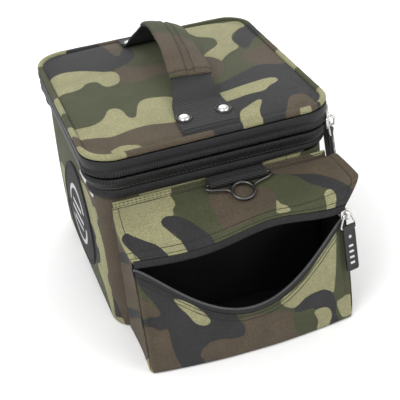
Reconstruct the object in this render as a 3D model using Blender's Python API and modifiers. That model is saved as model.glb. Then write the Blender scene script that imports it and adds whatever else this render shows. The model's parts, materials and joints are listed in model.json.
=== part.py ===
"""Padded gig bag: box-shaped carry bag with a zipped, hinged lid and a front pocket.

Frame: X to the right along the front, Y to the back, Z up, metres.
The origin is the centre of the body's base, on the floor; the pocket stands in front of it.
"""
import math

import bmesh
import bpy
from mathutils import Matrix, Vector

# ---- driving dimensions ------------------------------------------------------------------
BODY_WIDTH = 0.207
BODY_DEPTH = 0.218
BODY_CORNER = 0.022         # plan radius of the body's upright corners
ZIP_HEIGHT = 0.160          # height of the zip line and of the lid's hinge
BAND_DROP = 0.011           # black band's top, below the zip line
BAND_HEIGHT = 0.009
LID_RISE = 0.020            # zip line to the top of the lid's piping
LID_OVERHANG = 0.0065
LID_CROWN = 0.0085

CLOTH = 0.0012
LINING = 0.0008
FOAM = 0.006
BOARD = 0.0025
TAPE = 0.001
GAP = 0.0003                # clearance between neighbouring pieces
PAD_DROP = 0.004            # wall foam and lining stop this far below the zip line

ZIP_OFFSET = 0.0045         # the zip tapes stand this far out from the body's outline
ZIP_SLOT = 0.0016           # open line between the two tapes
ZIP_UPRIGHT = 0.0046        # upright part of each tape, beside the slot
ZIP_LEAD = 0.004            # how far the zip runs on along the left side past each corner
PIPING_RADIUS = 0.0028

HINGE_OUT = 0.0015          # hinge line, outside the lid's left face

POCKET_MARGIN = 0.0085      # front wall left bare on each side of the pocket
POCKET_SHIFT = 0.002        # pocket centre, right of the bag's centre
POCKET_SEAM_DROP = 0.008    # flap's seam, below the wall's top
POCKET_LIP_DROP = 0.022     # lip, below the flap's seam
POCKET_LIP_REACH = 0.051    # lip's ends, out from the front wall
POCKET_LIP_BOW = 0.010
POCKET_FOOT_REACH = 0.067
POCKET_FOOT_BOW = 0.0075
POCKET_TAPE = 0.0065
POCKET_SLOT = 0.0018
POCKET_LOWER_TAPE = 0.005
FLAP_SWELL = 0.0015
MOUTH_SAG = 0.055           # how far the lower lip hangs below its ends at mid width
MOUTH_POWER = 1.3

HANDLE_WIDTH = 0.050
HANDLE_WEB = 0.0022
HANDLE_INSET = 0.030        # where the web leaves the lid, in from the body's ends
HANDLE_RISE = 0.051         # arch's top, above the lid's piping
ARCH_POWER = 2.6
ARCH_FOOT_DROP = 0.012
SLEEVE_WIDTH = 0.038
SLEEVE_DEPTH = 0.0078
SLEEVE_WALL = 0.001
SLEEVE_INSET = 0.016        # sleeve's ends, in from where the web leaves the lid
STRAP_INSET = 0.004         # web's edges, in from the sleeve's edges
SWAY_RISE = 0.017           # sway line, above the lid's piping
SWAY_ROOM = 0.0078          # open stretch of web between the fixed anchor and the arch

RIVET_SPACING = 0.035
RIVET_INSET = 0.021         # rivet row, in from the lid cover's edge
RIVET_CAP_RADIUS = 0.005
RIVET_WASHER_RADIUS = 0.0075
RIVET_SHANK_RADIUS = 0.0015
RIVET_DOME = 0.0018
RIVET_RIM = 0.0006
WASHER_THICK = 0.0008

LOOP_WIDTH = 0.050
LOOP_SHIFT = 0.0155         # loop centre, right of the bag's centre
LOOP_REACH = 0.0095         # ring bar, out from the wall
LOOP_DROP = 0.0045          # ring bar, below the wall's top
RING_WIRE = 0.0011
RING_DROP = 0.0145          # bar to the middle of the eye
RING_EYE = 0.0098           # mean radius of the eye
RING_ARM_ROOM = 0.004       # arms, outside the loop's ends
FRONT_RING_TILT = 70        # degrees out from hanging, where it lies on the pocket flap

SLIDER_LENGTH = 0.011
SLIDER_HEIGHT = 0.0084
PLATE = 0.0012
PLATE_OUT = 0.0012          # outer plate's inner face, out from the tape's middle
PLATE_IN = 0.0017
PULL_WIRE = 0.0007
PULL_TOP_HALF = 0.0036
PULL_ROOM = 0.0006          # pull's wire, beside the tab and inside the bridge
PLATE_EDGE = 0.0004
BORE_ROOM = 0.0004
TAB_EDGE = 0.0005
TAB_HEAD_WALL = 0.0012
PULL_DROP = 0.0115
TAB_WIDTH = 0.012
TAB_LENGTH = 0.042
TAB_THICK = 0.0022
FRONT_SLIDER_ANGLE = -28    # degrees round the front right corner, 0 facing +X
RIGHT_SLIDER_LEAD = 0.0075  # right slider's centre, back from the corner's end
POCKET_SLIDER_INSET = 0.0085

PATCH_RADIUS = 0.050
PATCH_CENTRE = (-0.015, 0.078)
LABEL_LENGTH = 0.025
LABEL_HEIGHT = 0.0045

CORNER_STEPS = 5
LIP_STEPS = 12
SLEEVE_STEPS = 14

# ---- sizes that follow -------------------------------------------------------------------
LEFT = -BODY_WIDTH / 2
RIGHT = BODY_WIDTH / 2
FRONT = -BODY_DEPTH / 2
BACK = BODY_DEPTH / 2
BAND_TOP = ZIP_HEIGHT - BAND_DROP
WALL_TOP = BAND_TOP - BAND_HEIGHT
LID_TOP = ZIP_HEIGHT + LID_RISE
HINGE_X = LEFT - LID_OVERHANG - HINGE_OUT
BASE_STACK = CLOTH + BOARD + FOAM + 3 * GAP
LINING_INSET = CLOTH + FOAM + 2 * GAP
COVER_EDGE = LID_OVERHANG - 2 * PIPING_RADIUS - GAP   # cover's offset from the body outline
COVER_Z = LID_TOP - PIPING_RADIUS / 2
HANDLE_HALF_SPAN = BACK - HANDLE_INSET
HANDLE_TOP = LID_TOP + HANDLE_RISE
SLEEVE_HALF = HANDLE_HALF_SPAN - SLEEVE_INSET
SWAY_HEIGHT = LID_TOP + SWAY_RISE
ARCH_FOOT = SWAY_HEIGHT - ARCH_FOOT_DROP
POCKET_WIDTH = BODY_WIDTH - 2 * POCKET_MARGIN
POCKET_SEAM_HEIGHT = WALL_TOP - POCKET_SEAM_DROP
POCKET_LIP_HEIGHT = POCKET_SEAM_HEIGHT - POCKET_LIP_DROP
POCKET_LEFT = POCKET_SHIFT - POCKET_WIDTH / 2
POCKET_RIGHT = POCKET_SHIFT + POCKET_WIDTH / 2
LIP_RADIUS = (POCKET_WIDTH ** 2 / 4 + POCKET_LIP_BOW ** 2) / (2 * POCKET_LIP_BOW)
LIP_AXIS_Y = FRONT - POCKET_LIP_REACH - POCKET_LIP_BOW + LIP_RADIUS
SLOT_Z = POCKET_LIP_HEIGHT - GAP - POCKET_TAPE - POCKET_SLOT / 2
SLOT_LOW = SLOT_Z - POCKET_SLOT / 2
CORNER_X = RIGHT - BODY_CORNER
CORNER_Y = FRONT + BODY_CORNER

# ---- scene -------------------------------------------------------------------------------
for stale in list(bpy.data.objects):
    bpy.data.objects.remove(stale, do_unlink=True)

bag = bpy.data.collections.new("padded_gig_bag")
cutters = bpy.data.collections.new("cutters")
bpy.context.scene.collection.children.link(bag)
bpy.context.scene.collection.children.link(cutters)

FINISHES = {
    "camo": ((0.24, 0.25, 0.16), 0.85, 0.0),
    "black_cloth": ((0.020, 0.020, 0.021), 0.8, 0.0),
    "webbing": ((0.018, 0.018, 0.019), 0.75, 0.0),
    "foam": ((0.10, 0.10, 0.10), 0.95, 0.0),
    "board": ((0.22, 0.19, 0.15), 0.6, 0.0),
    "lining": ((0.012, 0.012, 0.013), 0.7, 0.0),
    "zip": ((0.025, 0.025, 0.026), 0.6, 0.0),
    "nickel": ((0.62, 0.61, 0.59), 0.25, 1.0),
    "gunmetal": ((0.10, 0.10, 0.11), 0.35, 1.0),
    "rubber": ((0.015, 0.015, 0.016), 0.55, 0.0),
    "white_tape": ((0.80, 0.80, 0.78), 0.7, 0.0),
}


def material_for(name, finish):
    """A Principled material of the piece's own."""
    colour, roughness, metallic = FINISHES[finish]
    material = bpy.data.materials.new(name)
    material.use_nodes = True
    shader = material.node_tree.nodes["Principled BSDF"]
    shader.inputs["Base Color"].default_value = (*colour, 1.0)
    shader.inputs["Roughness"].default_value = roughness
    shader.inputs["Metallic"].default_value = metallic
    return material


# ---- making pieces -----------------------------------------------------------------------
def add_mesh(name, mesh, finish, parent=None):
    piece = bpy.data.objects.new(name, mesh)
    bag.objects.link(piece)
    piece.data.materials.append(material_for(name, finish))
    piece.parent = parent
    return piece


def take_primitive(name, finish, parent=None, collection=bag):
    """Names the primitive just added and moves it to its collection."""
    piece = bpy.context.active_object
    for old in list(piece.users_collection):
        old.objects.unlink(piece)
    collection.objects.link(piece)
    piece.name = name
    if finish:
        piece.data.materials.append(material_for(name, finish))
    piece.parent = parent
    return piece


def box(name, low, high, finish, parent=None, collection=bag):
    middle = [(a + b) / 2 for a, b in zip(low, high)]
    bpy.ops.mesh.primitive_cube_add(size=1, location=middle)
    piece = take_primitive(name, finish, parent, collection)
    piece.data.transform(Matrix.Diagonal([b - a for a, b in zip(low, high)] + [1]))
    return piece


def thicken(piece, thickness, side=-1):
    shell = piece.modifiers.new("thickness", "SOLIDIFY")
    shell.thickness = thickness
    shell.offset = side
    shell.use_even_offset = True
    return piece


def loft(name, rows, thickness, finish, closed=False, side=-1, cap=False, parent=None):
    """A surface through rows of points, each row as long as the others, given a thickness.

    The thickness is added behind the face. The face is the side from which the rows run
    upwards while their points run to the right.
    """
    bm = bmesh.new()
    grid = [[bm.verts.new(point) for point in row] for row in rows]
    columns = len(grid[0]) if closed else len(grid[0]) - 1
    for near, far in zip(grid, grid[1:]):
        for i in range(columns):
            j = (i + 1) % len(near)
            bm.faces.new((near[i], near[j], far[j], far[i]))
    if cap:
        bm.faces.new(grid[-1])
    mesh = bpy.data.meshes.new(name)
    bm.to_mesh(mesh)
    bm.free()
    return thicken(add_mesh(name, mesh, finish, parent), thickness, side)


def slab(name, outline, low, high, finish):
    """A flat plate: a filled 2D curve, extruded by half its thickness each way."""
    curve = bpy.data.curves.new(name, "CURVE")
    curve.dimensions = "2D"
    curve.fill_mode = "BOTH"
    curve.extrude = (high - low) / 2
    spline = curve.splines.new("POLY")
    spline.points.add(len(outline) - 1)
    for point, (x, y) in zip(spline.points, outline):
        point.co = (x, y, 0, 1)
    spline.use_cyclic_u = True
    piece = bpy.data.objects.new(name, curve)
    piece.location = (0, 0, (low + high) / 2)
    piece.data.materials.append(material_for(name, finish))
    bag.objects.link(piece)
    return piece


def tube(name, points, radius, finish, closed=False, sides=2, parent=None):
    """A round wire along points."""
    curve = bpy.data.curves.new(name, "CURVE")
    curve.dimensions = "3D"
    curve.bevel_depth = radius
    curve.bevel_resolution = sides
    curve.use_fill_caps = not closed
    spline = curve.splines.new("POLY")
    spline.points.add(len(points) - 1)
    for point, place in zip(spline.points, points):
        point.co = (*place, 1)
    spline.use_cyclic_u = closed
    piece = bpy.data.objects.new(name, curve)
    piece.data.materials.append(material_for(name, finish))
    piece.parent = parent
    bag.objects.link(piece)
    return piece


def tube_mesh(name, points, radius, finish, closed=False, sides=2):
    """The same wire as a welded mesh, for pieces that are joined."""
    curve = tube(name + "_path", points, radius, finish, closed, sides)
    bpy.context.view_layer.update()
    mesh = bpy.data.meshes.new_from_object(curve.evaluated_get(bpy.context.evaluated_depsgraph_get()))
    bpy.data.objects.remove(curve, do_unlink=True)
    bm = bmesh.new()
    bm.from_mesh(mesh)
    bmesh.ops.remove_doubles(bm, verts=bm.verts, dist=1e-6)
    bmesh.ops.recalc_face_normals(bm, faces=bm.faces)
    bm.to_mesh(mesh)
    bm.free()
    mesh.name = name
    return mesh


def turned(name, profile, finish, place, lean, steps=16):
    """A profile of (radius, height) points, top to bottom, turned about Z."""
    bm = bmesh.new()
    verts = [bm.verts.new((radius, 0, height)) for radius, height in profile]
    for pair in zip(verts, verts[1:]):
        bm.edges.new(pair)
    mesh = bpy.data.meshes.new(name)
    bm.to_mesh(mesh)
    bm.free()
    piece = add_mesh(name, mesh, finish)
    piece.location = place
    piece.rotation_euler.x = lean
    spin = piece.modifiers.new("turn", "SCREW")
    spin.steps = steps
    spin.render_steps = steps
    spin.use_merge_vertices = True
    spin.merge_threshold = 1e-5
    return piece


def hidden(piece):
    piece.hide_render = True
    piece.display_type = "WIRE"
    for old in list(piece.users_collection):
        old.objects.unlink(piece)
    cutters.objects.link(piece)
    return piece


def join_with(piece, tool):
    union = piece.modifiers.new("join_" + tool.name, "BOOLEAN")
    union.operation = "UNION"
    union.object = tool
    union.solver = "EXACT"


def cut_with(piece, tool):
    cut = piece.modifiers.new("cut_" + tool.name, "BOOLEAN")
    cut.operation = "DIFFERENCE"
    cut.object = tool
    cut.solver = "EXACT"


def pivot(name, place, turn=(0, 0, 0), parent=None):
    """An empty on a joint's axis, turned by XYZ angles in degrees."""
    empty = bpy.data.objects.new(name, None)
    empty.empty_display_size = 0.01
    empty.location = place
    empty.rotation_euler = [math.radians(angle) for angle in turn]
    empty.parent = parent
    bag.objects.link(empty)
    return empty


def hang_on(holder, pieces):
    """Parents pieces to an empty and leaves them where they are."""
    bpy.context.view_layer.update()
    for piece in pieces:
        piece.parent = holder
        piece.matrix_parent_inverse = holder.matrix_world.inverted()


# ---- outlines ----------------------------------------------------------------------------
def outline(offset=0.0):
    """The body's plan moved out by offset, counterclockwise from the left side's front end."""
    radius = BODY_CORNER + offset
    points = []
    for sign_x, sign_y, start in ((-1, -1, 180), (1, -1, 270), (1, 1, 0), (-1, 1, 90)):
        middle_x = sign_x * (RIGHT - BODY_CORNER)
        middle_y = sign_y * (BACK - BODY_CORNER)
        for i in range(CORNER_STEPS + 1):
            angle = math.radians(start + 90 * i / CORNER_STEPS)
            points.append((middle_x + radius * math.cos(angle), middle_y + radius * math.sin(angle)))
    return points


def ring_rows(rows):
    """Closed rows at (offset, height)."""
    return [[(x, y, height) for x, y in outline(offset)] for offset, height in rows]


def zip_rows(rows):
    """Rows at (offset, height) along the zip: open on the left side, where the hinge is."""
    result = []
    for offset, height in rows:
        points = outline(offset)
        x = LEFT - offset
        start = (x, FRONT + BODY_CORNER + ZIP_LEAD)
        end = (x, BACK - BODY_CORNER - ZIP_LEAD)
        result.append([(px, py, height) for px, py in [start] + points + [end]])
    return result


def hinge_rows(rows):
    """Rows at (offset, height) along the left side, between the two ends of the zip."""
    length = BACK - BODY_CORNER - ZIP_LEAD - GAP
    return [[(LEFT - offset, length, height), (LEFT - offset, -length, height)] for offset, height in rows]


# ---- body --------------------------------------------------------------------------------
def make_body():
    loft("outer_walls", ring_rows([(0, 0), (0, WALL_TOP - GAP)]), CLOTH, "camo", closed=True)
    slab("base_panel", outline(-CLOTH - GAP), 0, CLOTH, "black_cloth")
    board_low = CLOTH + GAP
    slab("base_board", outline(-CLOTH - GAP), board_low, board_low + BOARD, "board")
    foam_low = board_low + BOARD + GAP
    slab("base_foam", outline(-CLOTH - GAP), foam_low, foam_low + FOAM, "foam")

    pad_top = ZIP_HEIGHT - PAD_DROP
    pad_low = BASE_STACK
    half_x = RIGHT - BODY_CORNER
    half_y = BACK - BODY_CORNER
    near = CLOTH + GAP
    far = near + FOAM
    box("front_foam", (-half_x, FRONT + near, pad_low), (half_x, FRONT + far, pad_top), "foam")
    box("back_foam", (-half_x, BACK - far, pad_low), (half_x, BACK - near, pad_top), "foam")
    box("left_foam", (LEFT + near, -half_y, pad_low), (LEFT + far, half_y, pad_top), "foam")
    box("right_foam", (RIGHT - far, -half_y, pad_low), (RIGHT - near, half_y, pad_top), "foam")

    floor = BASE_STACK + LINING
    rows = ring_rows([(-LINING_INSET - LINING, pad_top), (-LINING_INSET - LINING, floor)])
    loft("body_lining", rows, LINING, "lining", closed=True, cap=True)

    loft("body_band", zip_rows([(CLOTH, WALL_TOP), (CLOTH, BAND_TOP - GAP)]), CLOTH, "black_cloth")
    slot_low = ZIP_HEIGHT - ZIP_SLOT / 2
    zip_half = ZIP_OFFSET + TAPE / 2
    rows = [(CLOTH, BAND_TOP), (zip_half, slot_low - ZIP_UPRIGHT), (zip_half, slot_low)]
    loft("body_zip_tape", zip_rows(rows), TAPE, "zip")
    rows = [(0, WALL_TOP), (LID_OVERHANG, ZIP_HEIGHT - 2 * GAP)]
    loft("hinge_strip_lower", hinge_rows(rows), CLOTH, "camo")


def make_badges():
    bpy.ops.mesh.primitive_cylinder_add(vertices=32, radius=PATCH_RADIUS, depth=CLOTH)
    patch = take_primitive("side_patch", "black_cloth")
    patch.rotation_euler = (0, math.pi / 2, 0)
    patch.location = (LEFT - GAP - CLOTH / 2, *PATCH_CENTRE)

    label_y = FRONT + BODY_CORNER + ZIP_LEAD + GAP
    label_top = WALL_TOP - GAP
    low = (LEFT - GAP - LINING, label_y, label_top - LABEL_HEIGHT)
    high = (LEFT - GAP, label_y + LABEL_LENGTH, label_top)
    box("side_label", low, high, "white_tape")


# ---- lid ---------------------------------------------------------------------------------
def cover_height(share):
    """Top of the lid's cover, at a share of the way out from its middle to its edge."""
    return COVER_Z + LID_CROWN * (1 - share ** 2)


def make_lid():
    edge = outline(COVER_EDGE)
    rows = []
    for share in (1, 0.9, 0.78, 0.62, 0.42, 0.2):
        rows.append([(x * share, y * share, cover_height(share)) for x, y in edge])
    cover = loft("lid_cover", rows, CLOTH, "camo", closed=True, cap=True)

    centre = LID_OVERHANG - PIPING_RADIUS
    path = [(x, y, LID_TOP - PIPING_RADIUS) for x, y in outline(centre)]
    tube("lid_piping", path, PIPING_RADIUS, "camo", closed=True)

    band_top = LID_TOP - 2 * PIPING_RADIUS - GAP
    slot_high = ZIP_HEIGHT + ZIP_SLOT / 2
    bend = slot_high + ZIP_UPRIGHT
    band_low = bend + 2 * TAPE
    rows = [(LID_OVERHANG, band_low), (LID_OVERHANG, band_top)]
    loft("lid_band", ring_rows(rows), CLOTH, "black_cloth", closed=True)
    zip_half = ZIP_OFFSET + TAPE / 2
    rows = [(zip_half, slot_high), (zip_half, bend), (LID_OVERHANG, band_low - TAPE)]
    loft("lid_zip_tape", zip_rows(rows), TAPE, "zip")
    rows = [(LID_OVERHANG, ZIP_HEIGHT + 2 * GAP), (LID_OVERHANG, band_low - GAP)]
    loft("hinge_strip_upper", hinge_rows(rows), CLOTH, "camo")

    inner = LID_OVERHANG - CLOTH - GAP
    foam_top = COVER_Z - CLOTH - GAP
    foam_low = foam_top - FOAM
    board_low = foam_low - GAP - BOARD
    inside = outline(COVER_EDGE - GAP)
    slab("lid_foam", inside, foam_low, foam_top, "foam")
    slab("lid_board", outline(inner), board_low, foam_low - GAP, "board")
    slab("lid_lining", outline(inner), board_low - GAP - LINING, board_low - GAP, "lining")
    return cover


# ---- handle ------------------------------------------------------------------------------
def arch_points(start, end, steps):
    """(y, z) along the handle's arch: flat in the middle, steep at its feet."""
    points = []
    for i in range(steps + 1):
        y = start + (end - start) * i / steps
        share = abs(y) / HANDLE_HALF_SPAN
        points.append((y, HANDLE_TOP - (HANDLE_TOP - ARCH_FOOT) * share ** ARCH_POWER))
    return points


def arch_y(height):
    """How far out from the middle the arch passes a height."""
    fall = (HANDLE_TOP - height) / (HANDLE_TOP - ARCH_FOOT)
    return HANDLE_HALF_SPAN * fall ** (1 / ARCH_POWER)


def make_anchor(name, sign, cover):
    """The fixed end of the handle's web: flat on the cover, then rising to the sway line."""
    half = HANDLE_WIDTH / 2
    edge_y = BACK + COVER_EDGE
    lie = CLOTH / 4 + HANDLE_WEB / 2
    profile = []
    for i in range(5):
        y = edge_y + (HANDLE_HALF_SPAN + 0.001 - edge_y) * i / 4
        profile.append((y, cover_height(y / edge_y) + lie))
    top = SWAY_HEIGHT - 0.0005
    low = profile[-1][1] + 0.003
    for i in range(4):
        height = low + (top - low) * i / 3
        profile.append((arch_y(height), height))
    rows = [[(x, sign * y, z) for y, z in profile] for x in (-half, half)]
    web = loft(name, rows, HANDLE_WEB, "webbing", side=0)

    rivet_y = sign * (edge_y - RIVET_INSET)
    share = abs(rivet_y) / edge_y
    seat = cover_height(share)
    lean = -sign * math.atan(2 * LID_CROWN * share / edge_y)      # square to the cover's slope
    for side, x in (("left", -RIVET_SPACING / 2), ("right", RIVET_SPACING / 2)):
        tag = "%s_%s" % (name.split("_")[-1], side)
        bpy.ops.mesh.primitive_cylinder_add(vertices=20, radius=RIVET_SHANK_RADIUS + GAP,
                                            depth=0.02, location=(x, rivet_y, seat), rotation=(lean, 0, 0))
        hole = hidden(take_primitive("rivet_hole_" + tag, None))
        cut_with(web, hole)
        cut_with(cover, hole)
        make_rivet(tag, (x, rivet_y, seat), lean)


def make_rivet(tag, seat, lean):
    """A set rivet: domed cap, shank and burr, turned as one; a dished washer under the cap."""
    web_top = HANDLE_WEB + CLOTH / 4 + 2 * GAP
    washer_top = web_top + WASHER_THICK
    washer = [(RIVET_SHANK_RADIUS + GAP, washer_top), (RIVET_CAP_RADIUS + WASHER_THICK, washer_top),
              (RIVET_WASHER_RADIUS - RIVET_RIM, washer_top + RIVET_RIM), (RIVET_WASHER_RADIUS, washer_top),
              (RIVET_WASHER_RADIUS, web_top), (RIVET_SHANK_RADIUS + GAP, web_top),
              (RIVET_SHANK_RADIUS + GAP, washer_top)]
    turned("rivet_washer_" + tag, washer, "gunmetal", seat, lean)

    low = washer_top + GAP
    dome = []
    for i in range(5):
        angle = math.radians(90 - 90 * i / 4)
        dome.append((RIVET_CAP_RADIUS * math.cos(angle), low + RIVET_RIM + RIVET_DOME * math.sin(angle)))
    dome[0] = (0, dome[0][1])
    burr_high = -CLOTH - 2 * GAP
    cap = dome + [(RIVET_CAP_RADIUS, low), (RIVET_SHANK_RADIUS, low), (RIVET_SHANK_RADIUS, burr_high),
                  (RIVET_SHANK_RADIUS * 2, burr_high), (RIVET_SHANK_RADIUS * 2, burr_high - RIVET_RIM),
                  (0, burr_high - RIVET_RIM)]
    turned("rivet_cap_" + tag, cap, "nickel", seat, lean)


def section_ring(y, z, slope, width, depth):
    """A flat oval around the arch, square to it."""
    normal = Vector((0, -math.sin(slope), math.cos(slope)))
    middle = Vector((0, y, z))
    half_w = width / 2
    half_d = depth / 2
    round_off = min(half_d, half_w) * 0.9
    ring = []
    for sideways, out in ((-half_w, 0), (-half_w + round_off / 2, half_d), (0, half_d * 1.1),
                          (half_w - round_off / 2, half_d), (half_w, 0),
                          (half_w - round_off / 2, -half_d), (0, -half_d * 1.1),
                          (-half_w + round_off / 2, -half_d)):
        ring.append(middle + Vector((sideways, 0, 0)) + normal * out)
    return ring


def make_handle():
    sway = pivot("handle_pivot", (0, 0, SWAY_HEIGHT))
    foot_height = SWAY_HEIGHT + SWAY_ROOM
    foot = arch_y(foot_height)
    half = SLEEVE_WIDTH / 2 - STRAP_INSET
    points = [(-foot, foot_height)] + arch_points(-SLEEVE_HALF, SLEEVE_HALF, SLEEVE_STEPS)
    points.append((foot, foot_height))
    rows = [[(x, y, z - SWAY_HEIGHT) for y, z in points] for x in (-half, half)]
    loft("handle_strap", rows, HANDLE_WEB, "webbing", side=0, parent=sway)

    inside = 2 * (SLEEVE_WALL + GAP)
    pad_width = SLEEVE_WIDTH - inside - GAP
    pad_depth = SLEEVE_DEPTH - inside - GAP / 2
    rings = {"handle_pad": (pad_width, pad_depth, LINING, "foam"),
             "handle_sleeve": (SLEEVE_WIDTH, SLEEVE_DEPTH, SLEEVE_WALL, "camo")}
    for name, (width, depth, wall, finish) in rings.items():
        points = arch_points(-SLEEVE_HALF, SLEEVE_HALF, SLEEVE_STEPS)
        rows = []
        for i, (y, z) in enumerate(points):
            before = points[max(i - 1, 0)]
            after = points[min(i + 1, len(points) - 1)]
            slope = math.atan2(after[1] - before[1], after[0] - before[0])
            rows.append(section_ring(y, z - SWAY_HEIGHT, slope, width, depth))
        loft(name, rows, wall, finish, closed=True, parent=sway)


# ---- rings and their loops ---------------------------------------------------------------
def make_loop(name, sign):
    """Webbing folded round the ring's bar and sewn in under the black band."""
    bar = Vector((0, FRONT - LOOP_REACH, WALL_TOP - LOOP_DROP))
    tip = Vector((0, FRONT - CLOTH - GAP * 2, WALL_TOP - CLOTH - GAP * 2))
    radius = RING_WIRE + 2 * GAP + CLOTH
    away = bar - tip
    facing = math.atan2(away.z, away.y)
    spread = math.acos(radius / away.length)
    section = [tip]
    for i in range(9):
        angle = facing + (math.pi - spread) * (1 - i / 4)
        section.append(bar + radius * Vector((0, math.cos(angle), math.sin(angle))))
    rows = []
    for x in (-sign * LOOP_WIDTH / 2, sign * LOOP_WIDTH / 2):
        rows.append([(LOOP_SHIFT + x, -sign * point.y, point.z) for point in section])
    loft(name, rows, CLOTH, "webbing", closed=True)


def make_ring(name, sign, tilt):
    """A bar with two arms that close on a round eye; the bar lies in the loop."""
    turn = 180 if sign > 0 else 0
    holder = pivot(name + "_pivot", (LOOP_SHIFT, sign * (BACK + LOOP_REACH), WALL_TOP - LOOP_DROP),
                   (0, 0, turn))
    half = LOOP_WIDTH / 2 + RING_ARM_ROOM
    side = RING_EYE * 0.94
    shoulder = RING_DROP - RING_EYE * 0.34
    hang = RING_WIRE * 2 + 3 * GAP + CLOTH              # wire's middle, clear below the loop
    arm = [(half, -0.0005), (half, -hang), (half - RING_ARM_ROOM, -hang - 0.0016),
           (side + RING_ARM_ROOM, -shoulder + 0.0020), (side, -shoulder)]
    path = [(x, 0, z) for x, z in arm] + [(0, 0, RING_EYE - RING_DROP)]
    path += [(-x, 0, z) for x, z in reversed(arm)]
    frame = add_mesh(name, tube_mesh(name, path, RING_WIRE, "gunmetal", closed=True), "gunmetal", holder)
    bpy.ops.mesh.primitive_torus_add(major_radius=RING_EYE, minor_radius=RING_WIRE * 1.25,
                                     major_segments=28, minor_segments=8)
    eye = hidden(take_primitive(name + "_eye", None, holder))
    eye.rotation_euler = (math.pi / 2, 0, 0)
    eye.location = (0, 0, -RING_DROP)
    join_with(frame, eye)
    holder.rotation_euler.x = math.radians(-tilt)
    return frame


# ---- zip sliders -------------------------------------------------------------------------
def make_slider(prefix, place, turn, lean=0.0):
    """Slider body, hinged pull and rubber tab.

    In the slider's own frame X runs along the zip, -Y points out of the bag and Z is up.
    turn is about Z. lean tips the pull and tab out, so that they lie along a sloping face;
    the slider body takes half of it, between the upright tape and the sloping one.
    """
    holder = pivot(prefix + "_slider_pivot", place, (-lean / 2, 0, turn))
    half = SLIDER_LENGTH / 2
    tall = SLIDER_HEIGHT / 2
    body = box(prefix + "_slider", (-half, -PLATE_OUT - PLATE, -tall), (half, -PLATE_OUT, tall),
               "nickel", holder)
    bevel = body.modifiers.new("edges", "BEVEL")
    bevel.width = PLATE_EDGE
    bevel.segments = 1
    inner = box(prefix + "_inner_plate", (-half * 0.8, PLATE_IN, -tall * 0.85),
                (half * 0.8, PLATE_IN + PLATE * 0.8, tall * 0.85), None, holder)
    post_half = ZIP_SLOT / 2 - GAP
    post = box(prefix + "_post", (-0.0016, -PLATE_OUT - PLATE / 2, -post_half),
               (0.0016, PLATE_IN + PLATE * 0.4, post_half), None, holder)
    bar_out = PLATE_OUT + PLATE + PLATE_EDGE + PULL_WIRE
    arch_out = bar_out + 2 * PULL_WIRE + PULL_ROOM
    foot = tall * 0.78
    arch = [(0, -PLATE_OUT - PLATE * 0.5, -foot), (0, -arch_out + 0.0008, -foot * 0.95),
            (0, -arch_out, -foot * 0.5), (0, -arch_out, foot * 0.5), (0, -arch_out + 0.0008, foot * 0.95),
            (0, -PLATE_OUT - PLATE * 0.5, foot)]
    bridge = bpy.data.objects.new(prefix + "_bridge",
                                  tube_mesh(prefix + "_bridge", arch, PULL_WIRE, "nickel"))
    bridge.parent = holder
    bag.objects.link(bridge)
    for tool in (inner, post, bridge):
        join_with(body, hidden(tool))

    swing = pivot(prefix + "_pull_pivot", (0, -bar_out, 0), (-lean / 2, 0, 0), holder)
    wide = TAB_WIDTH / 2 + PULL_ROOM + PULL_WIRE
    shoulder = 0.002 - PULL_DROP
    path = [(-PULL_TOP_HALF, 0, 0), (PULL_TOP_HALF, 0, 0), (wide, 0, shoulder), (wide, 0, -PULL_DROP),
            (-wide, 0, -PULL_DROP), (-wide, 0, shoulder)]
    tube(prefix + "_pull", path, PULL_WIRE, "nickel", closed=True, parent=swing)

    tab_swing = pivot(prefix + "_tab_pivot", (0, 0, -PULL_DROP), (0, 0, 0), swing)
    low = -TAB_LENGTH
    half_w = TAB_WIDTH / 2
    tab = box(prefix + "_tab", (-half_w, -TAB_THICK / 2, low), (half_w, TAB_THICK / 2, 0), "rubber",
              tab_swing)
    corners = tab.modifiers.new("corners", "BEVEL")
    corners.width = TAB_EDGE
    corners.segments = 1
    bore = PULL_WIRE + BORE_ROOM
    bpy.ops.mesh.primitive_cylinder_add(vertices=16, radius=bore + TAB_HEAD_WALL, depth=TAB_WIDTH,
                                        rotation=(0, math.pi / 2, 0))
    head = hidden(take_primitive(prefix + "_tab_head", None, tab_swing))
    join_with(tab, head)
    bpy.ops.mesh.primitive_cylinder_add(vertices=12, radius=bore, depth=TAB_WIDTH * 1.5,
                                        rotation=(0, math.pi / 2, 0))
    cut_with(tab, hidden(take_primitive(prefix + "_tab_bore", None, tab_swing)))


# ---- front pocket ------------------------------------------------------------------------
def across(steps=LIP_STEPS, inset=0.0):
    """Stations over the pocket's width, each with its share from -1 to 1."""
    half = POCKET_WIDTH / 2 - inset
    return [(POCKET_SHIFT + half * (2 * i / steps - 1), (2 * i / steps - 1)) for i in range(steps + 1)]


def lip_y(x):
    """The lip's plan: an arc, so that the slider can run along it."""
    return LIP_AXIS_Y - math.sqrt(LIP_RADIUS ** 2 - (x - POCKET_SHIFT) ** 2)


def foot_y(share):
    return FRONT - POCKET_FOOT_REACH - POCKET_FOOT_BOW * (1 - share ** 2)


def front_y(x, share, height):
    """The lower panel's face at a height, on the straight line from its foot to the slot."""
    lean = height / SLOT_LOW
    return foot_y(share) + (lip_y(x) - foot_y(share)) * lean


def mouth_z(share):
    """Top of the lower tape: it meets the slot at both ends and sags between them."""
    return SLOT_LOW - MOUTH_SAG * (1 - share ** 2) ** MOUTH_POWER


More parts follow.
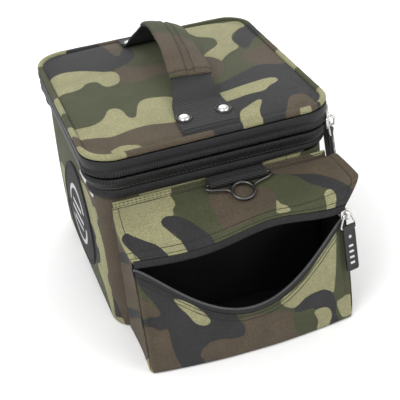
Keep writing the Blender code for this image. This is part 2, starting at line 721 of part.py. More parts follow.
def make_pocket():
    inset = CLOTH + GAP
    stations = across(inset=inset)
    seam_y = FRONT - CLOTH - GAP
    flap = []
    for step in range(4):
        t = step / 3
        swell = FLAP_SWELL * math.sin(math.pi * t)
        row = []
        for x, _ in across():
            y = lip_y(x) + (seam_y - lip_y(x)) * t
            z = POCKET_LIP_HEIGHT + (POCKET_SEAM_HEIGHT - POCKET_LIP_HEIGHT) * t + swell
            row.append((x, y, z))
        flap.append(row)
    loft("pocket_flap", flap, CLOTH, "camo")

    tape_top = POCKET_LIP_HEIGHT - 2 * CLOTH
    tape_low = SLOT_Z + POCKET_SLOT / 2
    rows = [[(x, lip_y(x), z) for x, _ in stations] for z in (tape_top, tape_low)]
    loft("pocket_upper_tape", rows, TAPE, "zip", side=0)

    rows = []
    for drop in (0, POCKET_LOWER_TAPE):
        rows.append([(x, front_y(x, s, mouth_z(s) - drop), mouth_z(s) - drop) for x, s in stations])
    loft("pocket_lower_tape", rows, TAPE, "zip", side=0)

    panel_top = POCKET_LOWER_TAPE + GAP
    rows = []
    for step in range(6):
        t = step / 5
        row = []
        for x, s in stations:
            z = GAP + (mouth_z(s) - panel_top - GAP) * t
            row.append((x, front_y(x, s, z), z))
        rows.append(row)
    loft("pocket_front_panel", rows, CLOTH, "camo", side=0)

    make_gusset(inset)
    low = (POCKET_LEFT + 2 * inset, FRONT - GAP - LINING, CLOTH + 2 * GAP)
    high = (POCKET_RIGHT - 2 * inset, FRONT - GAP, POCKET_SEAM_HEIGHT - 2 * CLOTH)
    box("pocket_back_lining", low, high, "lining")


def make_gusset(inset):
    """One strip: down the left side, along the bottom and up the right side."""
    wall_y = FRONT - GAP
    near_lip = 2 * CLOTH + GAP
    side_top = POCKET_SEAM_HEIGHT - 2 * CLOTH
    side_lip = POCKET_LIP_HEIGHT - near_lip
    back_row = []
    front_row = []
    levels = (1, 0.66, 0.33)
    left = [(POCKET_LEFT, -1, level) for level in levels]
    floor = [(x, s, 0) for x, s in across()]
    right = [(POCKET_RIGHT, 1, level) for level in reversed(levels)]
    for x, share, level in left + floor + right:
        back_row.append((x, wall_y, side_top * level))
        lip_z = side_lip * level
        face = front_y(x, share, lip_z)
        if level == 0:
            face += CLOTH / 2 + 2 * GAP
        front_row.append((x, face, lip_z))
    middle = [tuple((a + b) / 2 for a, b in zip(p, q)) for p, q in zip(back_row, front_row)]
    loft("pocket_gusset", [back_row, middle, front_row], CLOTH, "camo")


# ---- assembly ----------------------------------------------------------------------------
make_body()
make_badges()
lid_cover = make_lid()
make_anchor("handle_anchor_front", -1, lid_cover)
make_anchor("handle_anchor_back", 1, lid_cover)
make_handle()
make_loop("front_loop", -1)
make_loop("back_loop", 1)
make_ring("front_ring", -1, FRONT_RING_TILT)
make_ring("back_ring", 1, 0)
make_pocket()

run = math.radians(FRONT_SLIDER_ANGLE)
run_radius = BODY_CORNER + ZIP_OFFSET
make_slider("front", (CORNER_X + run_radius * math.cos(run), CORNER_Y + run_radius * math.sin(run),
                      ZIP_HEIGHT), 90 + FRONT_SLIDER_ANGLE)
make_slider("right", (RIGHT + ZIP_OFFSET, CORNER_Y + RIGHT_SLIDER_LEAD, ZIP_HEIGHT), 90)
slider_x = POCKET_RIGHT - POCKET_SLIDER_INSET
slider_turn = math.degrees(math.asin((slider_x - POCKET_SHIFT) / LIP_RADIUS))
face_lean = math.degrees(math.atan2(POCKET_FOOT_REACH - POCKET_LIP_REACH, SLOT_LOW))
make_slider("pocket", (slider_x, lip_y(slider_x), SLOT_Z), slider_turn, face_lean)

LID_PIECES = ("lid_", "hinge_strip_upper", "handle_anchor_", "handle_pivot", "rivet_")
moving = [piece for piece in bpy.data.objects if piece.name.startswith(LID_PIECES)]
hang_on(pivot("lid_hinge_pivot", (HINGE_X, 0, ZIP_HEIGHT)), moving)
hang_on(pivot("front_run_pivot", (CORNER_X, CORNER_Y, ZIP_HEIGHT)), [bpy.data.objects["front_slider_pivot"]])
hang_on(pivot("pocket_run_pivot", (POCKET_SHIFT, LIP_AXIS_Y, SLOT_Z)),
        [bpy.data.objects["pocket_slider_pivot"]])
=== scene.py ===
import json
import math
import bmesh
import bpy
import numpy as np
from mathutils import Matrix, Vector

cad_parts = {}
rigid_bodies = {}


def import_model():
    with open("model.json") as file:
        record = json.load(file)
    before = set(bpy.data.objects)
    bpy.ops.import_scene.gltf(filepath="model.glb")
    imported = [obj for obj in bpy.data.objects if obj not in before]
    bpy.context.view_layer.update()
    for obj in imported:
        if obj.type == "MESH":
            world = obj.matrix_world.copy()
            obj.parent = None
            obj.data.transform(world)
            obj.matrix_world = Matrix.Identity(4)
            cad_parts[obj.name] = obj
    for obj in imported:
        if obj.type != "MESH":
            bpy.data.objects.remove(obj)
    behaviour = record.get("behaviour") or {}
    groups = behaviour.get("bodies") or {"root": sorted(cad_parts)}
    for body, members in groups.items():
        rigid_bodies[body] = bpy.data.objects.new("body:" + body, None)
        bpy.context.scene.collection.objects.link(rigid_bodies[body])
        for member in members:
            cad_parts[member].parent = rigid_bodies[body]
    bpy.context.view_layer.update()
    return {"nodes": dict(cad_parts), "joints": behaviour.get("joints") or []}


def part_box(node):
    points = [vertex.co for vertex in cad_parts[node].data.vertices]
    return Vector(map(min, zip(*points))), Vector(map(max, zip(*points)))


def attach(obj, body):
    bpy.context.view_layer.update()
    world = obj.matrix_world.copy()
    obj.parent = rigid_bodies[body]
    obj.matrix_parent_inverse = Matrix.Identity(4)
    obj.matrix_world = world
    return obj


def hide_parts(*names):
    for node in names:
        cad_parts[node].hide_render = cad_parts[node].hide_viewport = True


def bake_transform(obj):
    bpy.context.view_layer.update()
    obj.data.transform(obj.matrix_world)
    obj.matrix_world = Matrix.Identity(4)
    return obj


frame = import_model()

joints = {joint["name"]: joint for joint in frame["joints"]}
nodes = frame["nodes"]
mm = 0.001
print("frame loaded:", len(nodes), "nodes")


# camera, floor and light
cameraView = {"place": (-0.21272, -0.81249, 0.59108), "target": (0.01412, 0.0, 0.0439),
              "roll": -5.584, "lens": 91.28}
studio = {"floorHalf": 3.0, "floor": (0.90, 0.90, 0.90), "world": (1.0, 1.0, 1.0), "worldPower": 0.85,
          "lamps": [((-0.9, -0.7, 1.5), 1.0, 16.0), ((0.9, -1.1, 1.1), 1.0, 7.0),
                    ((0.2, 1.1, 1.2), 0.9, 8.0)]}


def makeCamera():
    # columns of the turn: right, up and back, then the roll about back
    place = Vector(cameraView["place"])
    back = (place - Vector(cameraView["target"])).normalized()
    right = Vector((0, 0, 1)).cross(back).normalized()
    up = back.cross(right)
    roll = math.radians(cameraView["roll"])
    turnedRight = right * math.cos(roll) + up * math.sin(roll)
    turnedUp = up * math.cos(roll) - right * math.sin(roll)
    camera = bpy.data.objects.new("camera", bpy.data.cameras.new("camera"))
    bpy.context.scene.collection.objects.link(camera)
    camera.data.lens = cameraView["lens"]
    camera.data.sensor_width = 36
    camera.data.clip_start = 0.01
    turn = camera.matrix_world.to_3x3()
    for i, axis in enumerate((turnedRight, turnedUp, back)):
        turn.col[i] = axis
    camera.matrix_world = turn.to_4x4()
    camera.location = place
    bpy.context.scene.camera = camera


def makeStudio():
    for i, (place, size, power) in enumerate(studio["lamps"]):
        lamp = bpy.data.objects.new("lamp%d" % i, bpy.data.lights.new("lamp%d" % i, "AREA"))
        lamp.data.size = size
        lamp.data.energy = power
        lamp.location = place
        lamp.rotation_euler = Vector(place).to_track_quat("Z", "Y").to_euler()
        bpy.context.scene.collection.objects.link(lamp)
    world = bpy.data.worlds.new("studio")
    world.use_nodes = True
    backdrop = world.node_tree.nodes["Background"]
    backdrop.inputs["Color"].default_value = (*studio["world"], 1)
    backdrop.inputs["Strength"].default_value = studio["worldPower"]
    bpy.context.scene.world = world
    bpy.context.scene.view_settings.view_transform = "Standard"


# shader groups, built once and placed in each material
def newGroup(name, inputs, outputs):
    group = bpy.data.node_groups.new(name, "ShaderNodeTree")
    for label, kind, value in inputs:
        socket = group.interface.new_socket(name=label, in_out="INPUT", socket_type=kind)
        if value is not None:
            socket.default_value = value
    for label, kind in outputs:
        group.interface.new_socket(name=label, in_out="OUTPUT", socket_type=kind)
    return group, group.nodes.new("NodeGroupInput"), group.nodes.new("NodeGroupOutput")


def calc(tree, operation, first, second=None, third=None):
    # one Math node; each value is a socket or a number
    node = tree.nodes.new("ShaderNodeMath")
    node.operation = operation
    for socket, value in zip(node.inputs, (first, second, third)):
        if isinstance(value, (int, float)):
            socket.default_value = value
        elif value is not None:
            tree.links.new(value, socket)
    return node.outputs[0]


def mixColour(tree, share, first, second):
    node = tree.nodes.new("ShaderNodeMix")
    node.data_type = "RGBA"
    for socket, value in ((node.inputs[0], share), (node.inputs[6], first), (node.inputs[7], second)):
        if isinstance(value, (int, float)):
            socket.default_value = value
        elif isinstance(value, tuple):
            socket.default_value = (*value, 1) if len(value) == 3 else value
        else:
            tree.links.new(value, socket)
    return node.outputs[2]


def remap(tree, value, low, high, newLow=0.0, newHigh=1.0):
    node = tree.nodes.new("ShaderNodeMapRange")
    tree.links.new(value, node.inputs[0])
    for i, number in enumerate((low, high, newLow, newHigh)):
        node.inputs[i + 1].default_value = number
    return node.outputs[0]


def makeCamoGroup():
    # Fields holds three signed distances in mm: khaki, green, brown; charcoal is what is left
    colour = "NodeSocketColor"
    group, inside, outside = newGroup("printedCamo", [
        ("Fields", "NodeSocketVector", None), ("Khaki", colour, (0.300, 0.290, 0.158, 1)),
        ("Green", colour, (0.064, 0.069, 0.034, 1)), ("Brown", colour, (0.090, 0.069, 0.046, 1)),
        ("Charcoal", colour, (0.031, 0.031, 0.032, 1))], [("Color", colour)])
    split = group.nodes.new("ShaderNodeSeparateXYZ")
    group.links.new(inside.outputs["Fields"], split.inputs[0])
    result = inside.outputs["Charcoal"]
    for axis, label in ((2, "Brown"), (1, "Green"), (0, "Khaki")):
        edge = remap(group, split.outputs[axis], -0.40, 0.15)
        result = mixColour(group, edge, result, inside.outputs[label])
    place = group.nodes.new("ShaderNodeTexCoord")
    noise = group.nodes.new("ShaderNodeTexNoise")
    noise.inputs["Scale"].default_value = 38
    noise.inputs["Detail"].default_value = 6
    group.links.new(place.outputs["Object"], noise.inputs["Vector"])
    grain = group.nodes.new("ShaderNodeTexNoise")
    grain.inputs["Scale"].default_value = 850
    grain.inputs["Detail"].default_value = 1
    group.links.new(place.outputs["Object"], grain.inputs["Vector"])
    shade = calc(group, "MULTIPLY", remap(group, noise.outputs[0], 0.25, 0.75, 0.86, 1.14),
                 remap(group, grain.outputs[0], 0.3, 0.7, 0.78, 1.22))
    pale = group.nodes.new("ShaderNodeVectorMath")
    pale.operation = "SCALE"
    group.links.new(result, pale.inputs[0])
    group.links.new(shade, pale.inputs["Scale"])
    group.links.new(pale.outputs[0], outside.inputs["Color"])
    return group


def makeWeaveGroup():
    # plain weave: each crossing shows the warp or the weft thread in turn, rounded like a sine; the second
    # output is painted shade, darker where the threads dip
    group, inside, outside = newGroup("wovenThreads", [
        ("Vector", "NodeSocketVector", None), ("Threads", "NodeSocketFloat", 1400.0),
        ("Slant", "NodeSocketFloat", 0.0)],
        [("Height", "NodeSocketFloat"), ("Tone", "NodeSocketFloat")])
    split = group.nodes.new("ShaderNodeSeparateXYZ")
    group.links.new(inside.outputs["Vector"], split.inputs[0])
    lean = calc(group, "MULTIPLY", split.outputs[1], inside.outputs["Slant"])
    across = calc(group, "MULTIPLY", calc(group, "ADD", split.outputs[0], lean), inside.outputs["Threads"])
    along = calc(group, "MULTIPLY", split.outputs[1], inside.outputs["Threads"])
    warp = calc(group, "ABSOLUTE", calc(group, "SINE", calc(group, "MULTIPLY", across, math.pi)))
    weft = calc(group, "ABSOLUTE", calc(group, "SINE", calc(group, "MULTIPLY", along, math.pi)))
    crossing = calc(group, "ADD", calc(group, "FLOOR", across), calc(group, "FLOOR", along))
    turn = calc(group, "FLOORED_MODULO", crossing, 2.0)
    node = group.nodes.new("ShaderNodeMix")
    for socket, value in zip((node.inputs[0], node.inputs[2], node.inputs[3]), (turn, warp, weft)):
        group.links.new(value, socket)
    group.links.new(node.outputs[0], outside.inputs["Height"])
    # painted shade: the colour factor falls from 1.12 on a thread's crest to 0.62 in the hollow between
    # threads
    group.links.new(remap(group, node.outputs[0], 0.0, 1.0, 0.62, 1.12), outside.inputs["Tone"])
    return group


def makeWearGroup():
    # cloudy dust and rubbing: a mask from two sizes of noise on the object's own place
    group, inside, outside = newGroup("softWear", [("Size", "NodeSocketFloat", 30.0)],
                                      [("Mask", "NodeSocketFloat"), ("Fine", "NodeSocketFloat")])
    place = group.nodes.new("ShaderNodeTexCoord")
    for label, times in (("Mask", 1.0), ("Fine", 14.0)):
        noise = group.nodes.new("ShaderNodeTexNoise")
        noise.inputs["Detail"].default_value = 5
        group.links.new(place.outputs["Object"], noise.inputs["Vector"])
        group.links.new(calc(group, "MULTIPLY", inside.outputs["Size"], times), noise.inputs["Scale"])
        group.links.new(remap(group, noise.outputs[0], 0.3, 0.7), outside.inputs[label])
    return group


camoGroup = makeCamoGroup()
weaveGroup = makeWeaveGroup()
wearGroup = makeWearGroup()


def placeGroup(tree, group, **values):
    node = tree.nodes.new("ShaderNodeGroup")
    node.node_tree = group
    for label, value in values.items():
        if isinstance(value, (int, float, tuple)):
            node.inputs[label].default_value = value
        else:
            tree.links.new(value, node.inputs[label])
    return node


def newMaterial(name, colour, roughness, metallic=0.0, sheen=0.0, specular=0.5):
    material = bpy.data.materials.new(name)
    material.use_nodes = True
    shader = material.node_tree.nodes["Principled BSDF"]
    shader.inputs["Base Color"].default_value = (*colour, 1)
    shader.inputs["Roughness"].default_value = roughness
    shader.inputs["Metallic"].default_value = metallic
    shader.inputs["Sheen Weight"].default_value = sheen
    shader.inputs["Sheen Roughness"].default_value = 0.4
    shader.inputs["Specular IOR Level"].default_value = specular
    return material, material.node_tree, shader


def addBump(tree, shader, height, distance, strength=1.0):
    bump = tree.nodes.new("ShaderNodeBump")
    bump.inputs["Distance"].default_value = distance
    bump.inputs["Strength"].default_value = strength
    tree.links.new(height, bump.inputs["Height"])
    tree.links.new(bump.outputs[0], shader.inputs["Normal"])


def scaleColour(tree, colour, share):
    # colour times a changing share
    node = tree.nodes.new("ShaderNodeVectorMath")
    node.operation = "SCALE"
    if isinstance(colour, tuple):
        node.inputs[0].default_value = colour
    else:
        tree.links.new(colour, node.inputs[0])
    tree.links.new(share, node.inputs["Scale"])
    return node.outputs[0]


def camoMaterial():
    material, tree, shader = newMaterial("camoCloth", (0.15, 0.15, 0.09), 0.70, sheen=0.04, specular=0.25)
    fields = tree.nodes.new("ShaderNodeAttribute")
    fields.attribute_name = "camoFields"
    uv = tree.nodes.new("ShaderNodeUVMap")
    uv.uv_map = "cloth"
    camo = placeGroup(tree, camoGroup, Fields=fields.outputs["Vector"])
    weave = placeGroup(tree, weaveGroup, Vector=uv.outputs[0], Threads=950.0, Slant=0.0)
    # the printed colour times the weave's painted shade between threads
    tree.links.new(scaleColour(tree, camo.outputs[0], weave.outputs["Tone"]), shader.inputs["Base Color"])
    addBump(tree, shader, weave.outputs["Height"], 0.0004, 0.8)
    return material


def threadMaterial(name, colour, roughness, threads, slant=0.0, depth=0.0003, sheen=0.1, cloudy=0.25):
    # woven cloth, webbing or tape in one dyed colour, darkened between the threads as painted shade and in
    # cloudy patches of wear
    material, tree, shader = newMaterial(name, colour, roughness, sheen=sheen, specular=0.3)
    uv = tree.nodes.new("ShaderNodeUVMap")
    uv.uv_map = "cloth"
    weave = placeGroup(tree, weaveGroup, Vector=uv.outputs[0], Threads=threads, Slant=slant)
    wear = placeGroup(tree, wearGroup, Size=26.0)
    # tone: the weave's painted shade between threads times the cloudy wear mask
    tone = calc(tree, "MULTIPLY", weave.outputs["Tone"],
                remap(tree, wear.outputs["Mask"], 0.0, 1.0, 1 - cloudy, 1 + cloudy))
    tree.links.new(scaleColour(tree, colour, tone), shader.inputs["Base Color"])
    addBump(tree, shader, weave.outputs["Height"], depth, 0.7)
    return material


def twillMaterial(name, colour, pitch, slope):
    # heavy webbing: slanting ribs a pitch apart, with fine threads across them; the colour is painted shade,
    # dark in the grooves between ribs and light on their crests
    material, tree, shader = newMaterial(name, colour, 0.55, sheen=0.03, specular=0.35)
    uv = tree.nodes.new("ShaderNodeUVMap")
    uv.uv_map = "cloth"
    split = tree.nodes.new("ShaderNodeSeparateXYZ")
    tree.links.new(uv.outputs[0], split.inputs[0])
    lean = calc(tree, "ADD", split.outputs[1], calc(tree, "MULTIPLY", split.outputs[0], slope))
    rib = calc(tree, "ABSOLUTE", calc(tree, "SINE", calc(tree, "MULTIPLY", lean, math.pi / pitch)))
    rib = calc(tree, "POWER", rib, 0.6)
    weave = placeGroup(tree, weaveGroup, Vector=uv.outputs[0], Threads=1700.0, Slant=0.0)
    # painted shade: 0.35 of the colour in the grooves between ribs, 1.35 on the crests, times the weave's
    # painted shade
    tone = calc(tree, "MULTIPLY", weave.outputs["Tone"], remap(tree, rib, 0.0, 1.0, 0.35, 1.35))
    tree.links.new(scaleColour(tree, colour, tone), shader.inputs["Base Color"])
    height = calc(tree, "MULTIPLY_ADD", weave.outputs["Height"], 0.2, rib)
    addBump(tree, shader, height, 0.0007, 0.9)
    return material


def solidMaterial(name, colour, roughness, metallic=0.0, grain=900.0, depth=0.00005, spread=0.15, coat=0.0):
    # metal, rubber, foam or board: fine grain in height, slow change in colour and roughness
    material, tree, shader = newMaterial(name, colour, roughness, metallic)
    shader.inputs["Coat Weight"].default_value = coat
    wear = placeGroup(tree, wearGroup, Size=60.0)
    place = tree.nodes.new("ShaderNodeTexCoord")
    noise = tree.nodes.new("ShaderNodeTexNoise")
    noise.inputs["Scale"].default_value = grain
    noise.inputs["Detail"].default_value = 4
    tree.links.new(place.outputs["Object"], noise.inputs["Vector"])
    share = remap(tree, wear.outputs["Mask"], 0.0, 1.0, 1 - spread, 1 + spread)
    tree.links.new(scaleColour(tree, colour, share), shader.inputs["Base Color"])
    tree.links.new(remap(tree, wear.outputs["Fine"], 0.0, 1.0, roughness * 0.8, roughness * 1.25),
                   shader.inputs["Roughness"])
    addBump(tree, shader, noise.outputs[0], depth, 0.5)
    return material


def patchMaterial():
    # dark felt with a pale embroidered motif, where the attribute is above zero
    material, tree, shader = newMaterial("patchCloth", (0.02, 0.02, 0.022), 0.8, sheen=0.05, specular=0.25)
    field = tree.nodes.new("ShaderNodeAttribute")
    field.attribute_name = "motif"
    uv = tree.nodes.new("ShaderNodeUVMap")
    uv.uv_map = "cloth"
    weave = placeGroup(tree, weaveGroup, Vector=uv.outputs[0], Threads=900.0, Slant=0.6)
    edge = remap(tree, field.outputs["Fac"], -0.2, 0.2)
    motif = mixColour(tree, edge, (0.014, 0.014, 0.016), (0.55, 0.55, 0.57))
    # the felt and motif colour times the weave's painted shade between threads
    tree.links.new(scaleColour(tree, motif, weave.outputs["Tone"]), shader.inputs["Base Color"])
    addBump(tree, shader, calc(tree, "ADD", weave.outputs["Height"], edge), 0.0003, 0.6)
    return material


camoCloth = camoMaterial()
blackCloth = threadMaterial("blackCloth", (0.018, 0.018, 0.019), 0.62, 1500.0, sheen=0.03)
bandCloth = threadMaterial("bandCloth", (0.0115, 0.0115, 0.012), 0.5, 2000.0, depth=0.00012, sheen=0.01)
zipCloth = threadMaterial("zipCloth", (0.0125, 0.0125, 0.013), 0.40, 1800.0, depth=0.00015, sheen=0.0)
webCloth = twillMaterial("webbing", (0.0145, 0.0145, 0.0152), 0.0036, 0.75)
liningCloth = threadMaterial("liningCloth", (0.006, 0.006, 0.0065), 0.6, 2600.0, depth=0.0001, sheen=0.0)
whiteTape = threadMaterial("whiteTape", (0.72, 0.72, 0.71), 0.7, 1500.0, cloudy=0.05)
darkThread = solidMaterial("darkThread", (0.016, 0.016, 0.012), 0.7, grain=3000.0)
paleThread = solidMaterial("paleThread", (0.06, 0.06, 0.058), 0.7, grain=3000.0)
patchCloth = patchMaterial()
nickel = solidMaterial("nickel", (0.66, 0.65, 0.63), 0.24, 1.0, grain=500.0, depth=0.00004, spread=0.08)
gunmetal = solidMaterial("gunmetal", (0.115, 0.112, 0.110), 0.36, 1.0, grain=700.0, depth=0.00005)
darkMetal = solidMaterial("darkMetal", (0.050, 0.049, 0.048), 0.30, 1.0, grain=700.0, depth=0.00005)
rubber = solidMaterial("rubber", (0.010, 0.010, 0.011), 0.5, grain=1400.0, depth=0.00008)
paleRubber = solidMaterial("paleRubber", (0.55, 0.55, 0.56), 0.5, grain=1400.0, spread=0.05)
toothSkin = solidMaterial("teeth", (0.075, 0.075, 0.078), 0.32, grain=900.0)
foamSkin = solidMaterial("foam", (0.10, 0.10, 0.10), 0.95, grain=1800.0, depth=0.0004)
boardSkin = solidMaterial("board", (0.05, 0.048, 0.045), 0.7, grain=1200.0, depth=0.0002)
floorSkin = solidMaterial("studioFloor", studio["floor"], 0.9, grain=3.0, depth=0.0, spread=0.004)
print("materials ready:", len(bpy.data.materials))


# mesh helpers: surfaces are numpy grids of rows by columns by three
def gridQuads(rows, columns, wrapRows=False, wrapColumns=False):
    # corner numbers of every cell; a wrapped grid joins its last line to its first
    r, c = np.meshgrid(np.arange(rows if wrapRows else rows - 1),
                       np.arange(columns if wrapColumns else columns - 1), indexing="ij")
    nextR, nextC = (r + 1) % rows, (c + 1) % columns
    return np.stack([r * columns + c, r * columns + nextC, nextR * columns + nextC, nextR * columns + c],
                    -1).reshape(-1, 4)


def meshFrom(name, points, quads, material, cloth=None, cornerCloth=None, fields=None):
    # cloth is a point-wise (u, v) in metres; cornerCloth gives it for each face corner instead
    mesh = bpy.data.meshes.new(name)
    points = np.asarray(points, np.float32).reshape(-1, 3)
    quads = np.asarray(quads, np.int32)
    mesh.vertices.add(len(points))
    mesh.vertices.foreach_set("co", points.ravel())
    mesh.loops.add(quads.size)
    mesh.loops.foreach_set("vertex_index", quads.ravel())
    mesh.polygons.add(len(quads))
    mesh.polygons.foreach_set("loop_start", np.arange(len(quads), dtype=np.int32) * quads.shape[1])
    mesh.update(calc_edges=True)
    if cornerCloth is None:
        flat = points[:, :2] if cloth is None else np.asarray(cloth, np.float32).reshape(-1, 2)
        cornerCloth = flat[quads.ravel()]
    layer = mesh.uv_layers.new(name="cloth")
    layer.data.foreach_set("uv", np.asarray(cornerCloth, np.float32).ravel())
    for label, values in (fields or {}).items():
        values = np.asarray(values, np.float32)
        kind = "FLOAT_VECTOR" if values.shape[-1] == 3 and values.ndim > 1 else "FLOAT"
        attribute = mesh.attributes.new(label, kind, "POINT")
        attribute.data.foreach_set("vector" if kind == "FLOAT_VECTOR" else "value", values.ravel())
    mesh.shade_smooth()
    piece = bpy.data.objects.new(name, mesh)
    piece.data.materials.append(material)
    bpy.context.scene.collection.objects.link(piece)
    return piece


def gridPiece(name, grid, material, cloth=None, fields=None, wrapRows=False, wrapColumns=False):
    rows, columns = grid.shape[:2]
    quads = gridQuads(rows, columns, wrapRows, wrapColumns)
    cornerCloth = None
    if cloth is not None and cloth.shape[:2] != (rows, columns):
        # the cloth grid has one more line where the surface wraps
        wide = cloth.shape[1]
        cells = gridQuads(cloth.shape[0], wide)
        cornerCloth = cloth.reshape(-1, 2)[cells.ravel()]
        cloth = None
    return meshFrom(name, grid, quads, material, cloth, cornerCloth, fields)


def thicken(piece, thickness, side=-1):
    shell = piece.modifiers.new("thickness", "SOLIDIFY")
    shell.thickness = thickness
    shell.offset = side
    return piece


def settle(piece, body, slot, *replaced):
    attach(piece, body)
    if replaced:
        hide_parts(*replaced)
    return piece


def normals(grid):
    # cross product of the two directions of the grid, right times up
    right = np.gradient(grid, axis=1)
    up = np.gradient(grid, axis=0)
    cross = np.cross(right, up)
    return cross / np.maximum(np.linalg.norm(cross, axis=-1, keepdims=True), 1e-12)


def onGrid(grid, u, v):
    # a point of the surface at shares u along its columns and v up its rows, and its normal
    rows, columns = grid.shape[:2]
    x = np.clip(np.asarray(u, float) * (columns - 1), 0, columns - 1.001)
    y = np.clip(np.asarray(v, float) * (rows - 1), 0, rows - 1.001)
    i, j = y.astype(int), x.astype(int)
    fy, fx = (y - i)[..., None], (x - j)[..., None]

    def blendOf(values):
        low = values[i, j] * (1 - fx) + values[i, j + 1] * fx
        high = values[i + 1, j] * (1 - fx) + values[i + 1, j + 1] * fx
        return low * (1 - fy) + high * fy
    return blendOf(grid), blendOf(normals(grid))


def sweep(path, profile, closedPath=False, side=None):
    # carries a flat profile (across, out) along a path; side is the profile's across direction
    path = np.asarray(path, float)
    profile = np.asarray(profile, float)
    if closedPath:
        along = np.roll(path, -1, 0) - np.roll(path, 1, 0)
    else:
        along = np.gradient(path, axis=0)
    along /= np.linalg.norm(along, axis=1, keepdims=True)
    across = np.asarray(side, float) * np.ones_like(path)
    across -= along * np.sum(across * along, 1, keepdims=True)
    across /= np.linalg.norm(across, axis=1, keepdims=True)
    out = np.cross(along, across)
    return (path[:, None] + across[:, None] * profile[None, :, :1] + out[:, None] * profile[None, :, 1:2])


def circle(radius, count=16, squeeze=1.0):
    angle = np.arange(count) * 2 * math.pi / count
    return np.stack([radius * np.cos(angle), radius * squeeze * np.sin(angle)], -1)


def smoothLine(points, closed=False, steps=8):
    # a curve through every point (Catmull-Rom)
    p = np.asarray(points, float)
    if closed:
        p = np.vstack([p[-1], p, p[0], p[1]])
    else:
        p = np.vstack([2 * p[0] - p[1], p, 2 * p[-1] - p[-2]])
    t = (np.arange(steps) / steps)[None, :, None]
    a, b, c, d = (p[k:len(p) - 3 + k][:, None] for k in range(4))
    line = 0.5 * (2 * b + (c - a) * t + (2 * a - 5 * b + 4 * c - d) * t ** 2
                  + (3 * b - a - 3 * c + d) * t ** 3)
    line = line.reshape(-1, p.shape[1])
    return line if closed else np.vstack([line, points[-1]])


def evenly(path, step):
    # the same path with points a step apart
    path = np.asarray(path, float)
    length = np.concatenate([[0], np.cumsum(np.linalg.norm(np.diff(path, axis=0), axis=1))])
    count = max(2, int(round(length[-1] / step)) + 1)
    places = np.linspace(0, length[-1], count)
    return np.stack([np.interp(places, length, path[:, k]) for k in range(path.shape[1])], -1)


def joined(parts):
    # several (points, quads) as one
    start, allPoints, allQuads = 0, [], []
    for points, quads in parts:
        points = np.asarray(points).reshape(-1, 3)
        allPoints.append(points)
        allQuads.append(np.asarray(quads) + start)
        start += len(points)
    return np.vstack(allPoints), np.vstack(allQuads)


def tubeParts(path, profile, side, closed=False):
    # a swept tube; an open one is closed by shrinking its end rings to a point
    path = np.asarray(path, float)
    grid = sweep(path, profile, closed, side)
    if not closed:
        grid = np.concatenate([grid[:1] * 0 + path[0], grid, grid[:1] * 0 + path[-1]])
    quads = gridQuads(len(grid), len(profile), closed, True)
    return grid.reshape(-1, 3), quads[:, ::-1]


def closeEnds(piece):
    # merges the points of each closed-up end
    bm = bmesh.new()
    bm.from_mesh(piece.data)
    bmesh.ops.remove_doubles(bm, verts=bm.verts, dist=1e-6)
    bmesh.ops.recalc_face_normals(bm, faces=bm.faces)
    bm.to_mesh(piece.data)
    bm.free()
    return piece


# stitches
stitch = {"pitch": 0.0036, "length": 0.0027, "radius": 0.00028, "proud": 0.00012}


def stitchRow(points, outs, pitch=None):
    # each stitch is a four-sided rod, thickest in the middle, whose ends dip into the cloth
    pitch = pitch or stitch["pitch"]
    both = evenly(np.hstack([points, outs]), pitch)
    centre = (both[1:] + both[:-1])[:, :3] / 2
    out = both[1:, 3:] + both[:-1, 3:]
    along = np.diff(both[:, :3], axis=0)
    along /= np.maximum(np.linalg.norm(along, axis=1, keepdims=True), 1e-12)
    out -= along * np.sum(out * along, 1, keepdims=True)
    out /= np.maximum(np.linalg.norm(out, axis=1, keepdims=True), 1e-12)
    across = np.cross(out, along)
    t = np.linspace(-1, 1, 5)
    thick = stitch["radius"] * np.sqrt(1.06 - t ** 2)
    ring = math.pi / 4 + np.arange(4) * math.pi / 2
    x = (t * stitch["length"] / 2)[:, None] * np.ones(4)
    y = thick[:, None] * np.cos(ring)
    z = thick[:, None] * np.sin(ring) + (stitch["proud"] - 0.0004 * t ** 4)[:, None]
    rods = (centre[:, None, None] + along[:, None, None] * x[..., None] + across[:, None, None] * y[..., None]
            + out[:, None, None] * z[..., None])
    rod = gridQuads(5, 4, wrapColumns=True)
    caps = np.array([[3, 2, 1, 0], [16, 17, 18, 19]])
    quads = np.vstack([rod, caps])
    count = len(centre)
    return rods.reshape(-1, 3), (quads[None] + np.arange(count)[:, None, None] * 20).reshape(-1, 4)


def stitchPiece(name, rows, material, body, slot):
    points, quads = joined([stitchRow(*row) for row in rows])
    return settle(meshFrom(name, points, quads, material), body, slot)


# camouflage fields
def shapeDistance(x, y, points):
    # signed distance to a smooth closed line, in mm, above zero inside it
    line = smoothLine(points, closed=True, steps=5)
    following = np.roll(line, -1, 0)
    flatX, flatY = x.ravel(), y.ravel()
    best = np.full(flatX.shape, 1e9)
    inside = np.zeros(flatX.shape, bool)
    for (ax, ay), (bx, by) in zip(line, following):
        dx, dy = bx - ax, by - ay
        share = np.clip(((flatX - ax) * dx + (flatY - ay) * dy) / max(dx * dx + dy * dy, 1e-9), 0, 1)
        best = np.minimum(best, (flatX - ax - share * dx) ** 2 + (flatY - ay - share * dy) ** 2)
        if ay != by:
            crosses = (ay > flatY) != (by > flatY)
            inside ^= crosses & (flatX < ax + (flatY - ay) * dx / dy)
    return (np.sqrt(best) * np.where(inside, 1, -1)).reshape(x.shape)


def layOver(fields, colour, distance):
    # a new patch of colour on top: what is under it is pushed away
    below = -distance[..., None]
    fields = np.minimum(fields, below)
    index = {"khaki": 0, "green": 1, "brown": 2}.get(colour)
    if index is not None:
        fields[..., index] = np.maximum(fields[..., index], distance)
    return fields


